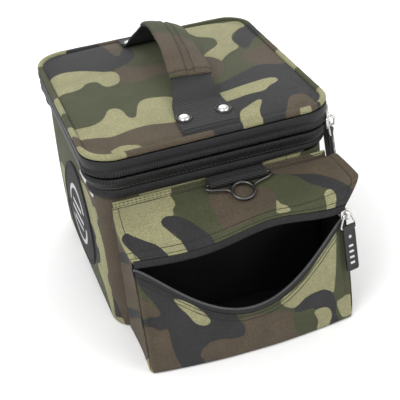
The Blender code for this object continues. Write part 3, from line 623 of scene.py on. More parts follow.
def wildCamo(u, v, seed=0.0):
    # lobed blobs without a plan: warped sums of sines, as rough distances in mm
    fields = np.full(u.shape + (3,), -50.0)
    layers = (("green", 46, 0.15, 1.3), ("brown", 40, 0.45, 4.1), ("khaki", 38, 0.55, 7.7))
    for colour, wave, level, phase in layers:
        a = u + 9 * np.sin(v / 17 + phase + seed) + 4 * np.sin(v / 7.3 + 2 * phase)
        b = v + 8 * np.sin(u / 19 + 1.7 * phase + seed) + 3 * np.sin(u / 6.1 + phase)
        k = 2 * math.pi / wave
        value = (np.sin(a * k * 0.62 + phase * 2 + seed) + np.sin(b * k + phase + 0.5 * seed)
                 + 0.6 * np.sin((a + b) * k * 0.8 + 3 * phase)) / 2.2
        fields = layOver(fields, colour, (value - level) * wave / 4.5)
    return fields


def paint(x, y, shapes, start=None, seed=0.0):
    fields = wildCamo(x, y, seed) if start is None else start
    for colour, points in shapes:
        fields = layOver(fields, colour, shapeDistance(x, y, points))
    return fields


# cloth simulation
def puff(piece, hold, pressure, cap, frames=20, stiff=15.0):
    # swells the piece; held points stay, and no point moves further than cap
    mesh = piece.data
    before = np.zeros(len(mesh.vertices) * 3)
    mesh.vertices.foreach_get("co", before)
    group = piece.vertex_groups.new(name="held")
    for level in np.unique(np.round(hold, 1)):
        if level > 0:
            group.add([int(i) for i in np.flatnonzero(np.round(hold, 1) == level)], float(level), "REPLACE")
    cloth = piece.modifiers.new("cloth", "CLOTH")
    settings = cloth.settings
    settings.quality = 4
    settings.mass = 0.2
    settings.tension_stiffness = stiff
    settings.compression_stiffness = stiff
    settings.shear_stiffness = stiff / 3
    settings.bending_stiffness = 0.4
    settings.vertex_group_mass = "held"
    settings.use_pressure = True
    settings.uniform_pressure_force = pressure
    settings.effector_weights.gravity = 0
    cloth.collision_settings.use_collision = False
    cloth.point_cache.frame_start = 1
    cloth.point_cache.frame_end = frames
    scene = bpy.context.scene
    for number in range(1, frames + 1):
        scene.frame_set(number)
    shown = piece.evaluated_get(bpy.context.evaluated_depsgraph_get()).data
    after = np.zeros_like(before)
    shown.vertices.foreach_get("co", after)
    move = (after - before).reshape(-1, 3)
    length = np.linalg.norm(move, axis=1, keepdims=True)
    move *= np.minimum(1, cap / np.maximum(length, 1e-9))
    piece.modifiers.remove(cloth)
    piece.vertex_groups.clear()
    scene.frame_set(1)
    mesh.vertices.foreach_set("co", (before + move.ravel()))
    mesh.update()
    print("simulated", piece.name, "moved up to %.1f mm" % (length.max() * 1000))


def gridOf(piece, shape):
    points = np.zeros(len(piece.data.vertices) * 3)
    piece.data.vertices.foreach_get("co", points)
    return points.reshape(shape[0], shape[1], 3)


# the box: its plan, and surfaces carried round it
wallLow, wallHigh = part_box("outer_walls")
plan = {"halfX": wallHigh.x, "halfY": wallHigh.y, "corner": 0.022, "wallTop": wallHigh.z,
        "zip": joints["lid_hinge"]["pos_m"][2], "zipLead": 0.004}
straightX = plan["halfX"] - plan["corner"]
straightY = plan["halfY"] - plan["corner"]
quarter = math.pi * plan["corner"] / 2
planLength = 4 * straightX + 4 * straightY + 4 * quarter
zipStart = straightY - plan["zipLead"]


def planPoint(s):
    # the wall's outline at a length s from the middle of the left side, towards the front; and its normal
    s = np.mod(np.asarray(s, float), planLength)
    edges = np.cumsum([0, straightY, quarter, 2 * straightX, quarter, 2 * straightY, quarter,
                       2 * straightX, quarter, straightY])
    part = np.clip(np.searchsorted(edges, s, side="right") - 1, 0, 8)
    into = s - edges[part]
    turn = into / plan["corner"]
    halfX, halfY = plan["halfX"], plan["halfY"]
    straight = {0: ((-1, 0), (0, -1), (-halfX, 0)), 2: ((0, -1), (1, 0), (-straightX, -halfY)),
                4: ((1, 0), (0, 1), (halfX, -straightY)), 6: ((0, 1), (-1, 0), (straightX, halfY)),
                8: ((-1, 0), (0, -1), (-halfX, straightY))}
    corners = {1: (-straightX, -straightY, math.pi), 3: (straightX, -straightY, 1.5 * math.pi),
               5: (straightX, straightY, 0.0), 7: (-straightX, straightY, 0.5 * math.pi)}
    place = np.zeros(s.shape + (2,))
    normal = np.zeros(s.shape + (2,))
    for index in range(9):
        here = part == index
        if index in corners:
            cx, cy, start = corners[index]
            out = np.stack([np.cos(start + turn), np.sin(start + turn)], -1)
            where = np.array([cx, cy]) + plan["corner"] * out
        else:
            n, along, origin = straight[index]
            out = np.broadcast_to(np.array(n, float), s.shape + (2,))
            where = np.array(origin) + into[..., None] * np.array(along)
        place[here] = where[here]
        normal[here] = out[here]
    return place, normal


def around(s, offset, z):
    # surface round the box: columns at s, rows at (offset, z); offset and z may change along s
    place, normal = planPoint(s)
    offset = np.asarray(offset, float)
    z = np.asarray(z, float)
    if offset.ndim == 1:
        offset = offset[:, None] * np.ones(len(s))
    if z.ndim == 1:
        z = z[:, None] * np.ones(len(s))
    flat = place[None] + normal[None] * offset[..., None]
    return np.concatenate([flat, z[..., None]], -1)


def ringStations(step):
    return np.arange(0, planLength - step / 2, planLength / round(planLength / step))


def ringCloth(s, z):
    # flat coordinates for a ring, with the closing column
    closed = np.append(s, planLength)
    return np.stack(np.meshgrid(closed, z), -1)


print("plan length %.3f m" % planLength)


# walls
walls = {"step": 0.0025, "rows": 60,
         "bulge": {"left": 0.0058, "right": 0.004, "front": 0.0008, "back": 0.004},
         "tuck": 0.003, "thickness": 0.0011, "pressure": 3.0, "cap": 0.0022}
wallShapes = [
    ("green", [(-70, 150), (-70, 90), (20, 95), (60, 120), (60, 150)]),
    ("khaki", [(-60, 88), (-30, 96), (0, 92), (25, 82), (20, 60), (-20, 52), (-60, 60)]),
    ("charcoal", [(-55, 50), (-20, 48), (10, 40), (20, 20), (0, 8), (-50, 14)]),
    ("brown", [(140, 142), (60, 142), (44, 134), (60, 121), (92, 121), (93, 40), (112, 30), (125, 118),
        (142, 100), (146, 60), (146, 20), (160, -8), (180, 60), (170, 130)]),
    ("khaki", [(18, 100), (42, 104), (62, 99), (79, 91), (85, 79), (83, 62), (70, 50), (77, 38), (85, 25),
        (82, 6), (70, -8), (92, -8), (95, 12), (96, 42), (96, 74), (95, 92), (90, 112), (82, 123),
        (66, 128), (48, 126), (28, 118)]),
    ("charcoal", [(128, 62), (118, 84), (112, 74), (118, 52), (126, 24), (130, -8), (138, -8), (136, 26)]),
    ("green", [(84, 28), (78, 38), (66, 42), (50, 39), (34, 28), (18, 14), (0, -8), (76, -8), (87, 8)]),
    ("brown", [(108, -8), (102, 20), (94, 48), (98, 58), (108, 40), (116, 12), (118, -8)]),
    ("khaki", [(137, 148), (139, 128), (165, 127), (191, 128), (193, 148), (165, 150)]),
    ("khaki", [(249, 148), (247, 128), (264, 128), (266, 148)]),
    ("khaki", [(270, 148), (271, 128), (281, 129), (284, 148)]),
    ("green", [(285, 146), (281, 132), (298, 126), (310, 136), (306, 148)]),
]


def sideBulge(place, normal):
    # outward swell: each side's own height, falling to nothing at its corners
    acrossY = np.clip(1 - (place[:, 1] / plan["halfY"]) ** 2, 0, 1)
    acrossX = np.clip(1 - (place[:, 0] / plan["halfX"]) ** 2, 0, 1)
    bulge = walls["bulge"]
    return (acrossY * (np.clip(-normal[:, 0], 0, 1) * bulge["left"]
                       + np.clip(normal[:, 0], 0, 1) * bulge["right"])
            + acrossX * (np.clip(-normal[:, 1], 0, 1) * bulge["front"]
                         + np.clip(normal[:, 1], 0, 1) * bulge["back"]))


def wallOffset(s, z):
    # bulge over the height, plus the lower edge tucked in on a quarter round
    place, normal = planPoint(s)
    height = np.clip(z / plan["wallTop"], 0, 1)
    swell = np.sin(math.pi * height) ** 0.7
    radius = walls["tuck"]
    tuck = radius - np.sqrt(np.maximum(radius ** 2 - np.clip(radius - z, 0, None) ** 2, 0))
    return sideBulge(place, normal)[None] * swell[:, None] - tuck[:, None]


def makeWalls():
    s = ringStations(walls["step"])
    z = np.linspace(0.0004, plan["wallTop"], walls["rows"])
    grid = around(s, wallOffset(s, z), z)
    sShown = np.where(s > planLength * 0.628, s - planLength, s)
    u, v = np.meshgrid(sShown * 1000, z * 1000)
    fields = paint(u, v, wallShapes, seed=0.6)
    piece = gridPiece("wallCloth", grid, camoCloth, ringCloth(s, z), {"camoFields": fields}, wrapColumns=True)
    turning = np.abs(planPoint(s)[1]).min(1) > 0.05
    hold = np.zeros(grid.shape[:2])
    hold[:3] = 1
    hold[-3:] = 1
    hold[:, turning] = 1
    hold[:, (s > straightY) & (s < straightY + 2 * quarter + 2 * straightX)] = 1
    puff(piece, hold.ravel(), walls["pressure"], walls["cap"])
    grid = gridOf(piece, grid.shape)
    thicken(piece, walls["thickness"])
    settle(piece, "bag", "camo_cloth", "outer_walls")
    return s, z, grid


wallStations, wallHeights, wallGrid = makeWalls()
print("walls done")


# bands and the main zip
bandSizes = {"lidOut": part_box("lid_band")[1].x - plan["halfX"], "lidLow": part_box("lid_band")[0].z,
             "lidHigh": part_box("lid_band")[1].z, "bodyLow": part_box("body_band")[0].z,
             "bodyHigh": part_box("body_band")[1].z, "step": 0.0025, "thickness": 0.001}
zipSizes = {"pitch": 0.0022, "rib": 0.0012, "out": 0.0050, "slotHalf": 0.0008, "coil": 0.0046,
            "step": 0.00037, "thickness": 0.0009, "foldZ": 0.1515, "seamZ": 0.1509, "seamOut": 0.00345}


def makeLidBand():
    low, high, out = bandSizes["lidLow"], bandSizes["lidHigh"], bandSizes["lidOut"]
    s = ringStations(bandSizes["step"])
    t = np.linspace(0, 1, 11)
    offset = out - 0.0004 + 0.0008 * np.sin(math.pi * t) ** 0.6
    z = low - 0.0002 + (high + 0.0004 - low) * t
    ripple = 0.00022 * np.sin(s * 95) * np.sin(s * 37 + 1)
    grid = around(s, offset[:, None] + ripple[None] * np.sin(math.pi * t)[:, None], z)
    piece = gridPiece("lidBandCloth", grid, bandCloth, ringCloth(s, z), wrapColumns=True)
    settle(thicken(piece, bandSizes["thickness"]), "lid", "black_cloth", "lid_band")


def zipRibs(s, share):
    # rounded ribs along the zip, only over the coil's part of the tape
    rib = np.abs(np.sin(math.pi * s / zipSizes["pitch"])) ** 0.8
    return rib[None] * share[:, None] * zipSizes["rib"]


def openStations(step):
    return np.arange(zipStart, planLength - zipStart + step / 2, step)


def makeMainZip():
    s = openStations(zipSizes["step"])
    zipZ, slot, coil, out = plan["zip"], zipSizes["slotHalf"], zipSizes["coil"], zipSizes["out"]
    bendHigh = zipZ + slot + coil
    z = np.array([zipZ + slot, zipZ + slot, zipZ + slot + 0.0004, zipZ + 0.0022, zipZ + 0.0034,
                  bendHigh - 0.0006, bendHigh, bendHigh + 0.0006, bandSizes["lidLow"] + 0.0008])
    offset = np.array([out - 0.0012, out - 0.0003, out, out + 0.0003, out + 0.0003, out, out, out + 0.0006,
                       bandSizes["lidOut"] - 0.0009])
    share = np.array([0, 0.4, 0.9, 1, 1, 0.8, 0.1, 0, 0])
    grid = around(s, offset[:, None] + zipRibs(s, share), z)
    flat = np.stack(np.meshgrid(s, z), -1)
    upper = gridPiece("lidZipTape", grid, zipCloth, flat)
    settle(thicken(upper, zipSizes["thickness"]), "lid", "zip", "lid_zip_tape")
    bendLow = zipZ - slot - coil
    bandTop = bandSizes["bodyHigh"]
    z = np.array([bandTop - 0.0006, bandTop + 0.0006, zipSizes["foldZ"], bendLow - 0.0012, bendLow,
                  bendLow + 0.0006, zipZ - 0.0034, zipZ - 0.0022, zipZ - slot - 0.0004, zipZ - slot,
                  zipZ - slot])
    offset = np.array([0.0024, 0.0028, 0.0036, out - 0.0002, out + 0.0001, out, out + 0.0003, out + 0.0003,
                       out, out - 0.0003, out - 0.0012])
    share = np.array([0, 0, 0, 0, 0.1, 0.8, 1, 1, 0.9, 0.4, 0])
    grid = around(s, offset[:, None] + zipRibs(s + zipSizes["pitch"] / 2, share), z)
    flat = np.stack(np.meshgrid(s, z), -1)
    lower = gridPiece("bodyZipTape", grid, zipCloth, flat)
    settle(thicken(lower, zipSizes["thickness"]), "bag", "zip", "body_zip_tape")
    seam = openStations(0.002)
    row = around(seam, np.array([zipSizes["seamOut"]]), np.array([zipSizes["seamZ"]]))[0]
    outs = np.pad(planPoint(seam)[1], ((0, 0), (0, 1)))
    stitchPiece("zipTapeStitches", [(row, outs)], paleThread, "bag", "zip")


def makeBodyBand():
    s = openStations(0.0005)
    low, high = bandSizes["bodyLow"], bandSizes["bodyHigh"]
    t = np.linspace(0, 1, 11)
    swell = np.sin(math.pi * t)
    rib = 0.00070 * np.abs(np.sin(math.pi * s / 0.0020))
    offset = 0.0020 + 0.0013 * swell[:, None] ** 0.7 + rib[None] * swell[:, None]
    z = low - 0.0004 + (high - low + 0.0004) * t
    # the lower edge climbs towards the front right corner
    x, y = planPoint(s)[0].T
    climb = 0.0048 * np.clip((x - 0.028) / 0.075, 0, 1) * np.clip((0.02 - y) / 0.10, 0, 1)
    grid = around(s, offset, z[:, None] + (1 - t)[:, None] * climb[None])
    piece = gridPiece("bodyBandCloth", grid, bandCloth, np.stack(np.meshgrid(s, z), -1))
    settle(thicken(piece, bandSizes["thickness"]), "bag", "black_cloth", "body_band")


makeLidBand()
makeMainZip()
makeBodyBand()
print("bands and zip done")


# fabric hinge on the left
hinge = {"step": 0.003, "rows": 25, "out": 0.0018, "thickness": 0.0008, "fold": 0.003, "bandLow": 0.1555,
         "bandHigh": 0.1662, "bandHalf": 0.0850}


def bendAtHinge(piece):
    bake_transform(piece)


def makeHinge():
    # from the wall's top to the lid's band; it bows out towards the hinge line
    low, high = plan["wallTop"] - 0.0006, bandSizes["lidLow"] + 0.0008
    length = zipStart - 0.0006
    y = np.linspace(length, -length, int(2 * length / hinge["step"]))
    t = np.linspace(0, 1, hinge["rows"])
    z = low + (high - low) * t
    offset = 0.0004 + (bandSizes["lidOut"] - 0.0012) * t ** 1.2 + hinge["out"] * np.sin(math.pi * t) ** 1.5
    grid = np.stack([-(plan["halfX"] + offset)[:, None] + 0 * y[None], y[None] + 0 * t[:, None],
                     z[:, None] + 0 * y[None]], -1)
    u, v = np.meshgrid(-y * 1000, z * 1000)
    shapes = [("green", [(90, 175), (90, 135), (40, 138), (-20, 134), (-60, 140), (-95, 136), (-95, 175)]),
              ("brown", [(100, 175), (100, 130), (70, 138), (50, 150), (44, 175)]),
              ("khaki", [(30, 175), (10, 150), (-20, 148), (-50, 156), (-60, 175)])]
    fields = paint(u, v, shapes, seed=1.1)
    piece = gridPiece("hingeCloth", grid, camoCloth, np.stack([u, v], -1) * mm, {"camoFields": fields})
    thicken(piece, hinge["thickness"])
    bendAtHinge(piece)
    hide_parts("hinge_strip_lower", "hinge_strip_upper")


def makeHingeBand():
    # the lid's black band runs on down the left side, over the top of the hinge
    y = np.linspace(hinge["bandHalf"], -hinge["bandHalf"], 60)
    t = np.linspace(0, 1, 12)
    z = hinge["bandLow"] + (hinge["bandHigh"] - hinge["bandLow"]) * t
    share = (z - plan["wallTop"]) / (bandSizes["lidLow"] - plan["wallTop"])
    offset = (0.0014 + (bandSizes["lidOut"] - 0.0012) * share ** 1.2
              + hinge["out"] * np.sin(math.pi * share) ** 1.5)
    grid = np.stack(np.broadcast_arrays(-(plan["halfX"] + offset)[:, None], y[None], z[:, None]), -1)
    piece = gridPiece("hingeBandCloth", grid, bandCloth, np.stack(np.meshgrid(-y, z), -1))
    thicken(piece, 0.0009)
    bendAtHinge(piece)


makeHinge()
makeHingeBand()


# lid top and piping
lidSizes = {"edge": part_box("lid_cover")[1].x, "edgeY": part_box("lid_cover")[1].y, "corner": 0.0226,
            "z": 0.1786, "crown": 0.0086, "step": 0.0021, "groove": 0.0011, "thickness": 0.001,
            "pressure": 1.6, "cap": 0.0012}
lidShapes = [
    ("green", [(-130, 130), (-130, -130), (130, -130), (130, 130)]),
    ("charcoal", [(-118, 125), (-118, 50), (-100, 56), (-70, 40), (-56, 30), (-46, 28), (-37, 36),
        (-28, 43), (-21, 54), (-19, 72), (-22, 95), (-18, 125)]),
    ("brown", [(-43, 122), (-40, 95), (-39, 75), (-35, 64), (-30, 72), (-26, 85), (-24, 100), (-22, 122)]),
    ("brown", [(-49, 28), (-40, 33), (-30, 28), (-20, 22), (-6, 20), (6, 14), (4, -4), (-14, -2), (-30, -5),
        (-42, -3), (-50, 6)]),
    ("khaki", [(-114, 44), (-104, 57), (-95, 60), (-86, 57), (-75, 50), (-64, 40), (-57, 33), (-50, 29),
        (-47, 22), (-47, 12), (-50, 3), (-56, 0), (-62, 2), (-65, 9), (-67, 16), (-72, 20), (-78, 20),
        (-83, 15), (-91, 15), (-98, 18), (-105, 17), (-114, 10)]),
    ("khaki", [(-114, -47), (-102, -54), (-91, -59), (-82, -57), (-76, -50), (-73, -44), (-69, -42),
        (-64, -45), (-61, -53), (-60, -62), (-57, -67), (-53, -66), (-50, -58), (-47, -50), (-43, -44),
        (-36, -42), (-27, -44), (-16, -50), (-14, -68), (-18, -88), (-35, -86), (-50, -83), (-65, -84),
        (-80, -86), (-92, -80), (-104, -72), (-114, -66)]),
    ("brown", [(-116, -64), (-104, -72), (-92, -80), (-80, -86), (-65, -84), (-50, -83), (-35, -86),
        (-10, -92), (10, -100), (0, -125), (-60, -128), (-116, -125)]),
    ("khaki", [(-86, -104), (-76, -102), (-68, -104), (-60, -108), (-72, -109), (-82, -108)]),
    ("khaki", [(42, 108), (60, 106), (80, 104), (98, 102), (103, 92), (100, 84), (92, 76), (82, 64),
        (76, 52), (74, 40), (75, 30), (71, 23), (62, 16), (53, 7), (47, -1), (43, 5), (40, 11), (36, 15),
        (38, 20), (43, 25), (51, 32), (58, 41), (60, 54), (57, 61), (51, 66), (46, 73), (43, 88)]),
    ("charcoal", [(112, 88), (98, 81), (90, 72), (82, 60), (77, 50), (75, 38), (76, 26), (80, 22), (86, 28),
        (92, 38), (99, 50), (112, 62)]),
    ("brown", [(112, 40), (98, 28), (86, 22), (76, 16), (70, 6), (68, -6), (72, -15), (80, -20), (92, -21),
        (112, -20)]),
    ("brown", [(30, 14), (40, 13), (46, 4), (47, -8), (43, -19), (35, -28), (26, -32), (20, -10)]),
    ("charcoal", [(14, -50), (28, -45), (42, -40), (56, -32), (68, -24), (80, -20), (94, -21), (116, -26),
        (116, -128), (8, -128), (6, -80)]),
    ("khaki", [(20, -62), (32, -60), (46, -57), (60, -54), (72, -51), (79, -52), (80, -57), (76, -61),
        (68, -66), (61, -72), (46, -73), (20, -76)]),
    ("khaki", [(29, -98), (38, -91), (50, -85), (53, -87), (49, -94), (45, -102), (41, -118), (26, -118)]),
    ("brown", [(64, -118), (71, -101), (77, -91), (84, -88), (91, -89), (95, -96), (94, -106), (90, -118)]),
    ("khaki", [(77, -118), (78, -111), (82, -109), (86, -111), (86, -118)]),
]
pipingShapes = [
    ("khaki", [(-125, -82), (-110, -84), (-98, -102), (-80, -108), (-76, -130), (-125, -130)]),
    ("khaki", [(-125, 12), (-100, 12), (-100, -18), (-125, -18)]),
    ("green", [(-125, 100), (-100, 100), (-100, 20), (-125, 20)]),
    ("khaki", [(-120, 130), (-70, 130), (-90, 96), (-120, 90)]),
    ("khaki", [(100, 6), (125, 6), (125, -34), (100, -34)]),
    ("green", [(100, -40), (125, -40), (125, -84), (100, -84)]),
    ("khaki", [(98, -88), (125, -84), (125, -116), (98, -112)]),
]


def roundedSquare(u, v, halfX, halfY, corner):
    # a square grid pressed into a rounded rectangle: each corner cell becomes a quarter disc
    x, y = u * halfX, v * halfY
    cornerX = np.clip((np.abs(x) - (halfX - corner)) / corner, 0, 1)
    cornerY = np.clip((np.abs(y) - (halfY - corner)) / corner, 0, 1)
    pressedX = cornerX * np.sqrt(1 - cornerY ** 2 / 2)
    pressedY = cornerY * np.sqrt(1 - cornerX ** 2 / 2)
    return x - np.sign(x) * (cornerX - pressedX) * corner, y - np.sign(y) * (cornerY - pressedY) * corner


def lidHeight(u, v):
    # crown by the larger share, with a sewn groove at the edge
    share = (np.abs(u) ** 6 + np.abs(v) ** 6) ** (1 / 6)
    crown = lidSizes["crown"] * np.clip(1 - share ** 2, 0, 1)
    groove = lidSizes["groove"] * np.exp(-((1 - np.clip(share, 0, 1)) / 0.022) ** 2)
    return lidSizes["z"] + crown + 0.0006 * (1 - np.exp(-((1 - np.clip(share, 0, 1)) / 0.05) ** 2)) - groove


def makeLidTop():
    counts = [int(2 * half / lidSizes["step"]) for half in (lidSizes["edge"], lidSizes["edgeY"])]
    u, v = np.meshgrid(np.linspace(-1, 1, counts[0]), np.linspace(-1, 1, counts[1]))
    halfX, halfY = lidSizes["edge"] + 0.0008, lidSizes["edgeY"] + 0.0008
    x, y = roundedSquare(u, v, halfX, halfY, lidSizes["corner"])
    grid = np.stack([x, y, lidHeight(u, v)], -1)
    fields = paint(x * 1000, y * 1000, lidShapes)
    piece = gridPiece("lidTopCloth", grid, camoCloth, np.stack([x, y], -1), {"camoFields": fields})
    edge = np.maximum(np.abs(u), np.abs(v))
    web = (np.abs(x) < 0.027) & (np.abs(y) > 0.070)
    hold = np.where((edge > 0.965) | web, 1.0, 0.0)
    puff(piece, hold.ravel(), lidSizes["pressure"], lidSizes["cap"])
    grid = gridOf(piece, grid.shape)
    thicken(piece, lidSizes["thickness"])
    settle(piece, "lid", "camo_cloth", "lid_cover", "lid_foam")
    return grid


def makePiping():
    low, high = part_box("lid_piping")
    radius = (high.z - low.z) / 2
    s = ringStations(0.0018)
    place, normal = planPoint(s)
    offset = bandSizes["lidOut"] - radius
    centre = place + normal * offset
    angle = np.arange(16) * 2 * math.pi / 16
    wobble = 1 + 0.035 * np.sin(s * 1500)[None] * (np.sin(s * 61)[None] > 0.2) + 0.02 * np.sin(s * 330)[None]
    out = radius * np.cos(angle)[:, None] * wobble
    up = radius * np.sin(angle)[:, None] * wobble
    flat = centre[None] + normal[None] * out[..., None]
    grid = np.concatenate([flat, (high.z - radius + up)[..., None]], -1)
    fields = paint(centre[None, :, 0] * 1000 + 0 * out, centre[None, :, 1] * 1000 + 0 * out, lidShapes[:1])
    fields = paint(grid[..., 0] * 1000, grid[..., 1] * 1000, lidShapes + pipingShapes, fields)
    flat = ringCloth(s, np.arange(17) * 2 * math.pi / 16 * radius)
    piece = gridPiece("pipingCloth", grid, camoCloth, flat, {"camoFields": fields}, True, True)
    settle(piece, "lid", "camo_cloth", "lid_piping")


lidGrid = makeLidTop()
makePiping()
print("lid done")


# patch and label on the left wall
patch = {"y": -0.023, "z": 0.078, "radius": 0.050, "rim": 0.0035, "proud": 0.0011, "rimProud": 0.0019,
         "rings": 56, "spokes": 180}
label = {"start": 0.0910, "length": 0.045, "height": 0.0045, "proud": 0.0010, "thickness": 0.0006}


def onWall(s, z):
    closed = np.concatenate([wallGrid, wallGrid[:, :1]], 1)
    v = (np.asarray(z) - wallHeights[0]) / (wallHeights[-1] - wallHeights[0])
    return onGrid(closed, np.mod(s, planLength) / planLength, v)


def motifField(y, z):
    # an open ring crossed by three bars, as distances in mm
    radius = np.hypot(y, z)
    ring = 2.2 - np.abs(radius - 27)
    gap = np.abs(z + 0.2 * y) - 7.5
    bars = np.full(y.shape, -50.0)
    for height, half in ((9.5, 15), (0.0, 20), (-9.5, 15)):
        bars = np.maximum(bars, np.minimum(2.0 - np.abs(z - height), half - np.abs(y)))
    return np.maximum(np.minimum(ring, gap), bars)


def makePatch():
    r = patch["radius"] * np.linspace(0, 1, patch["rings"]) ** 0.8
    angle = np.arange(patch["spokes"]) * 2 * math.pi / patch["spokes"]
    rim = np.clip((r - patch["radius"] + patch["rim"]) / patch["rim"], 0, 1)
    proud = patch["proud"] + (patch["rimProud"] - patch["proud"]) * np.sin(math.pi * rim) ** 0.6
    proud[-1] = -0.0006
    # seen from outside the angle runs from the back towards the front
    y = patch["y"] - r[:, None] * np.cos(angle)
    z = patch["z"] + r[:, None] * np.sin(angle)
    surface, out = onWall(-y, z)
    grid = surface + out * proud[:, None, None]
    fields = motifField((y - patch["y"]) * 1000, (z - patch["z"]) * 1000)
    piece = gridPiece("patchDisc", grid[:, ::-1], patchCloth, np.stack([y, z], -1)[:, ::-1],
                      {"motif": fields[:, ::-1]}, wrapColumns=True)
    settle(closeEnds(piece), "bag", "black_cloth", "side_patch")
    edge = patch["radius"] - patch["rim"] - 0.0006
    turn = np.linspace(0, 2 * math.pi, 200)
    place, out = onWall(-(patch["y"] - edge * np.cos(turn)), patch["z"] + edge * np.sin(turn))
    stitchPiece("patchStitches", [(place + out * patch["proud"], out)], darkThread, "bag", "black_cloth")


def makeLabel():
    s = np.linspace(label["start"], label["start"] - label["length"], 46)
    top = plan["wallTop"] - 0.0006
    z = np.linspace(top - label["height"], top, 7)
    u, v = np.meshgrid(s, z)
    place, out = onWall(u, v)
    grid = place + out * label["proud"]
    piece = gridPiece("labelTape", grid[:, ::-1], whiteTape, np.stack([u, v], -1)[:, ::-1])
    settle(thicken(piece, label["thickness"]), "bag", "white_tape", "side_label")


makePatch()
makeLabel()


# linings and base
lining = {"top": 0.1578, "inset": 0.0086, "floor": 0.0142, "thickness": 0.0006}


def makeLinings():
    # over the foam's top edge and down to the floor, as seen from inside
    offset = np.array([0.0020, 0.0010, -0.0014, -0.0045, -0.0070, -0.0083, -0.0086])
    z = np.array([0.1525, 0.1552, 0.1571, lining["top"], 0.1569, 0.1545, 0.1515])
    down = np.linspace(0.1515, lining["floor"] + 0.0035, 45)[1:]
    turn = np.linspace(0, math.pi / 2, 6)[1:]
    offset = np.concatenate([offset, -lining["inset"] - 0.0012 * np.sin(math.pi * (down - 0.0177) / 0.1338),
                             -lining["inset"] - 0.0035 * (1 - np.cos(turn))])
    z = np.concatenate([z, down, lining["floor"] + 0.0035 * (1 - np.sin(turn))])
    s = ringStations(0.0035)
    grid = around(s, offset, z)
    piece = gridPiece("bodyLiningCloth", grid, liningCloth, ringCloth(s, np.arange(len(z)) * 0.0033),
                      wrapColumns=True)
    settle(thicken(piece, lining["thickness"]), "bag", "lining", "body_lining")
    half = [plan["halfX"] - lining["inset"] - 0.003, plan["halfY"] - lining["inset"] - 0.003]
    u, v = np.meshgrid(np.linspace(-1, 1, 61), np.linspace(-1, 1, 65))
    x, y = roundedSquare(u, v, *half, 0.0105)
    swell = 0.0012 * (1 - u ** 4) * (1 - v ** 4)
    grid = np.stack([x, y, lining["floor"] - 0.0002 + swell], -1)
    floor = gridPiece("floorLiningCloth", grid, liningCloth, np.stack([x, y], -1))
    settle(thicken(floor, lining["thickness"]), "bag", "lining", "body_lining")
    out = bandSizes["lidOut"] - 0.0015
    x, y = roundedSquare(-u, v, plan["halfX"] + out, plan["halfY"] + out, plan["corner"] + out)
    edge = np.maximum(np.abs(u), np.abs(v))
    grid = np.stack([x, y, 0.1675 - 0.0012 * (1 - u ** 4) * (1 - v ** 4)
                     + 0.0006 * np.exp(-((edge - 0.93) / 0.02) ** 2)], -1)
    under = gridPiece("lidLiningCloth", grid, liningCloth, np.stack([x, y], -1))
    settle(thicken(under, lining["thickness"]), "lid", "lining", "lid_lining")
    x, y = roundedSquare(-u, v, plan["halfX"] - 0.0016, plan["halfY"] - 0.0016, plan["corner"] - 0.0016)
    grid = np.stack([x, y, 0.0003 + 0.0004 * (1 - np.clip(edge, 0, 1) ** 8)], -1)
    base = gridPiece("basePanelCloth", grid, blackCloth, np.stack([x, y], -1))
    settle(thicken(base, 0.0009), "bag", "black_cloth", "base_panel")


makeLinings()
print("linings done")


# front pocket
flapLow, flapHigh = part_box("pocket_flap")
run = joints["pocket_slider_run"]["pos_m"]
pocket = {"left": flapLow.x, "right": flapHigh.x, "middle": run[0], "axisY": run[1], "arc": 0.45625,
          "seam": 0.132, "lip": 0.110, "slotLow": 0.1014, "footReach": 0.067, "footBow": 0.0075, "sag": 0.055,
          "power": 1.3, "wallY": -plan["halfY"] - 0.0015, "rise": 0.0125, "riseAt": 0.026, "riseWide": 0.044,
          "tape": 0.0072, "lowerTape": 0.0052, "flareX": 0.0165, "flareZ": 0.0135, "flapLength": 0.0555,
          "thickness": 0.0011, "belly": 0.0032, "fold": 0.006}
flapShapes = [
    ("green", [(-140, 90), (-140, -30), (140, -30), (140, 90)]),
    ("khaki", [(-112, 66), (-112, -8), (-42, -8), (-45, 4), (-51, 13), (-56, 22), (-59, 30), (-54, 34),
        (-47, 33), (-46, 38), (-42, 43), (-43, 52), (-47, 66)]),
    ("charcoal", [(-92, 20), (-88, 27), (-83, 22), (-76, 16), (-70, 12), (-65, 5), (-62, -6), (-80, -8),
        (-88, 6)]),
    ("charcoal", [(-59, 29), (-54, 34), (-46, 32), (-39, 27), (-33, 20), (-28, 12), (-24, 4), (-26, -8),
        (-44, -8), (-50, 14), (-56, 22)]),
    ("brown", [(-13, 8), (-14, 20), (-15, 31), (-12, 42), (-4, 48), (10, 48), (25, 41), (35, 36), (40, 28),
        (38, 17), (35, 11), (28, 9), (10, 6), (-5, 5)]),
    ("khaki", [(33, 4), (35, 11), (38, 18), (40, 13), (44, 9), (44, 4)]),
    ("charcoal", [(40, 46), (52, 45), (62, 36), (66, 27), (72, 18), (78, 9), (84, -6), (112, -10),
        (130, 30), (108, 32), (92, 40), (78, 46), (60, 50)]),
    ("khaki", [(73, 8), (76, 12), (80, 8), (85, 1), (86, -3), (80, -3)]),
    ("brown", [(40, 66), (46, 50), (64, 38), (75, 31), (83, 20), (88, 10), (98, 4), (118, -4), (134, 40),
        (110, 66)]),
    ("khaki", [(84, 68), (86, 60), (94, 57), (102, 62), (104, 72)]),
]
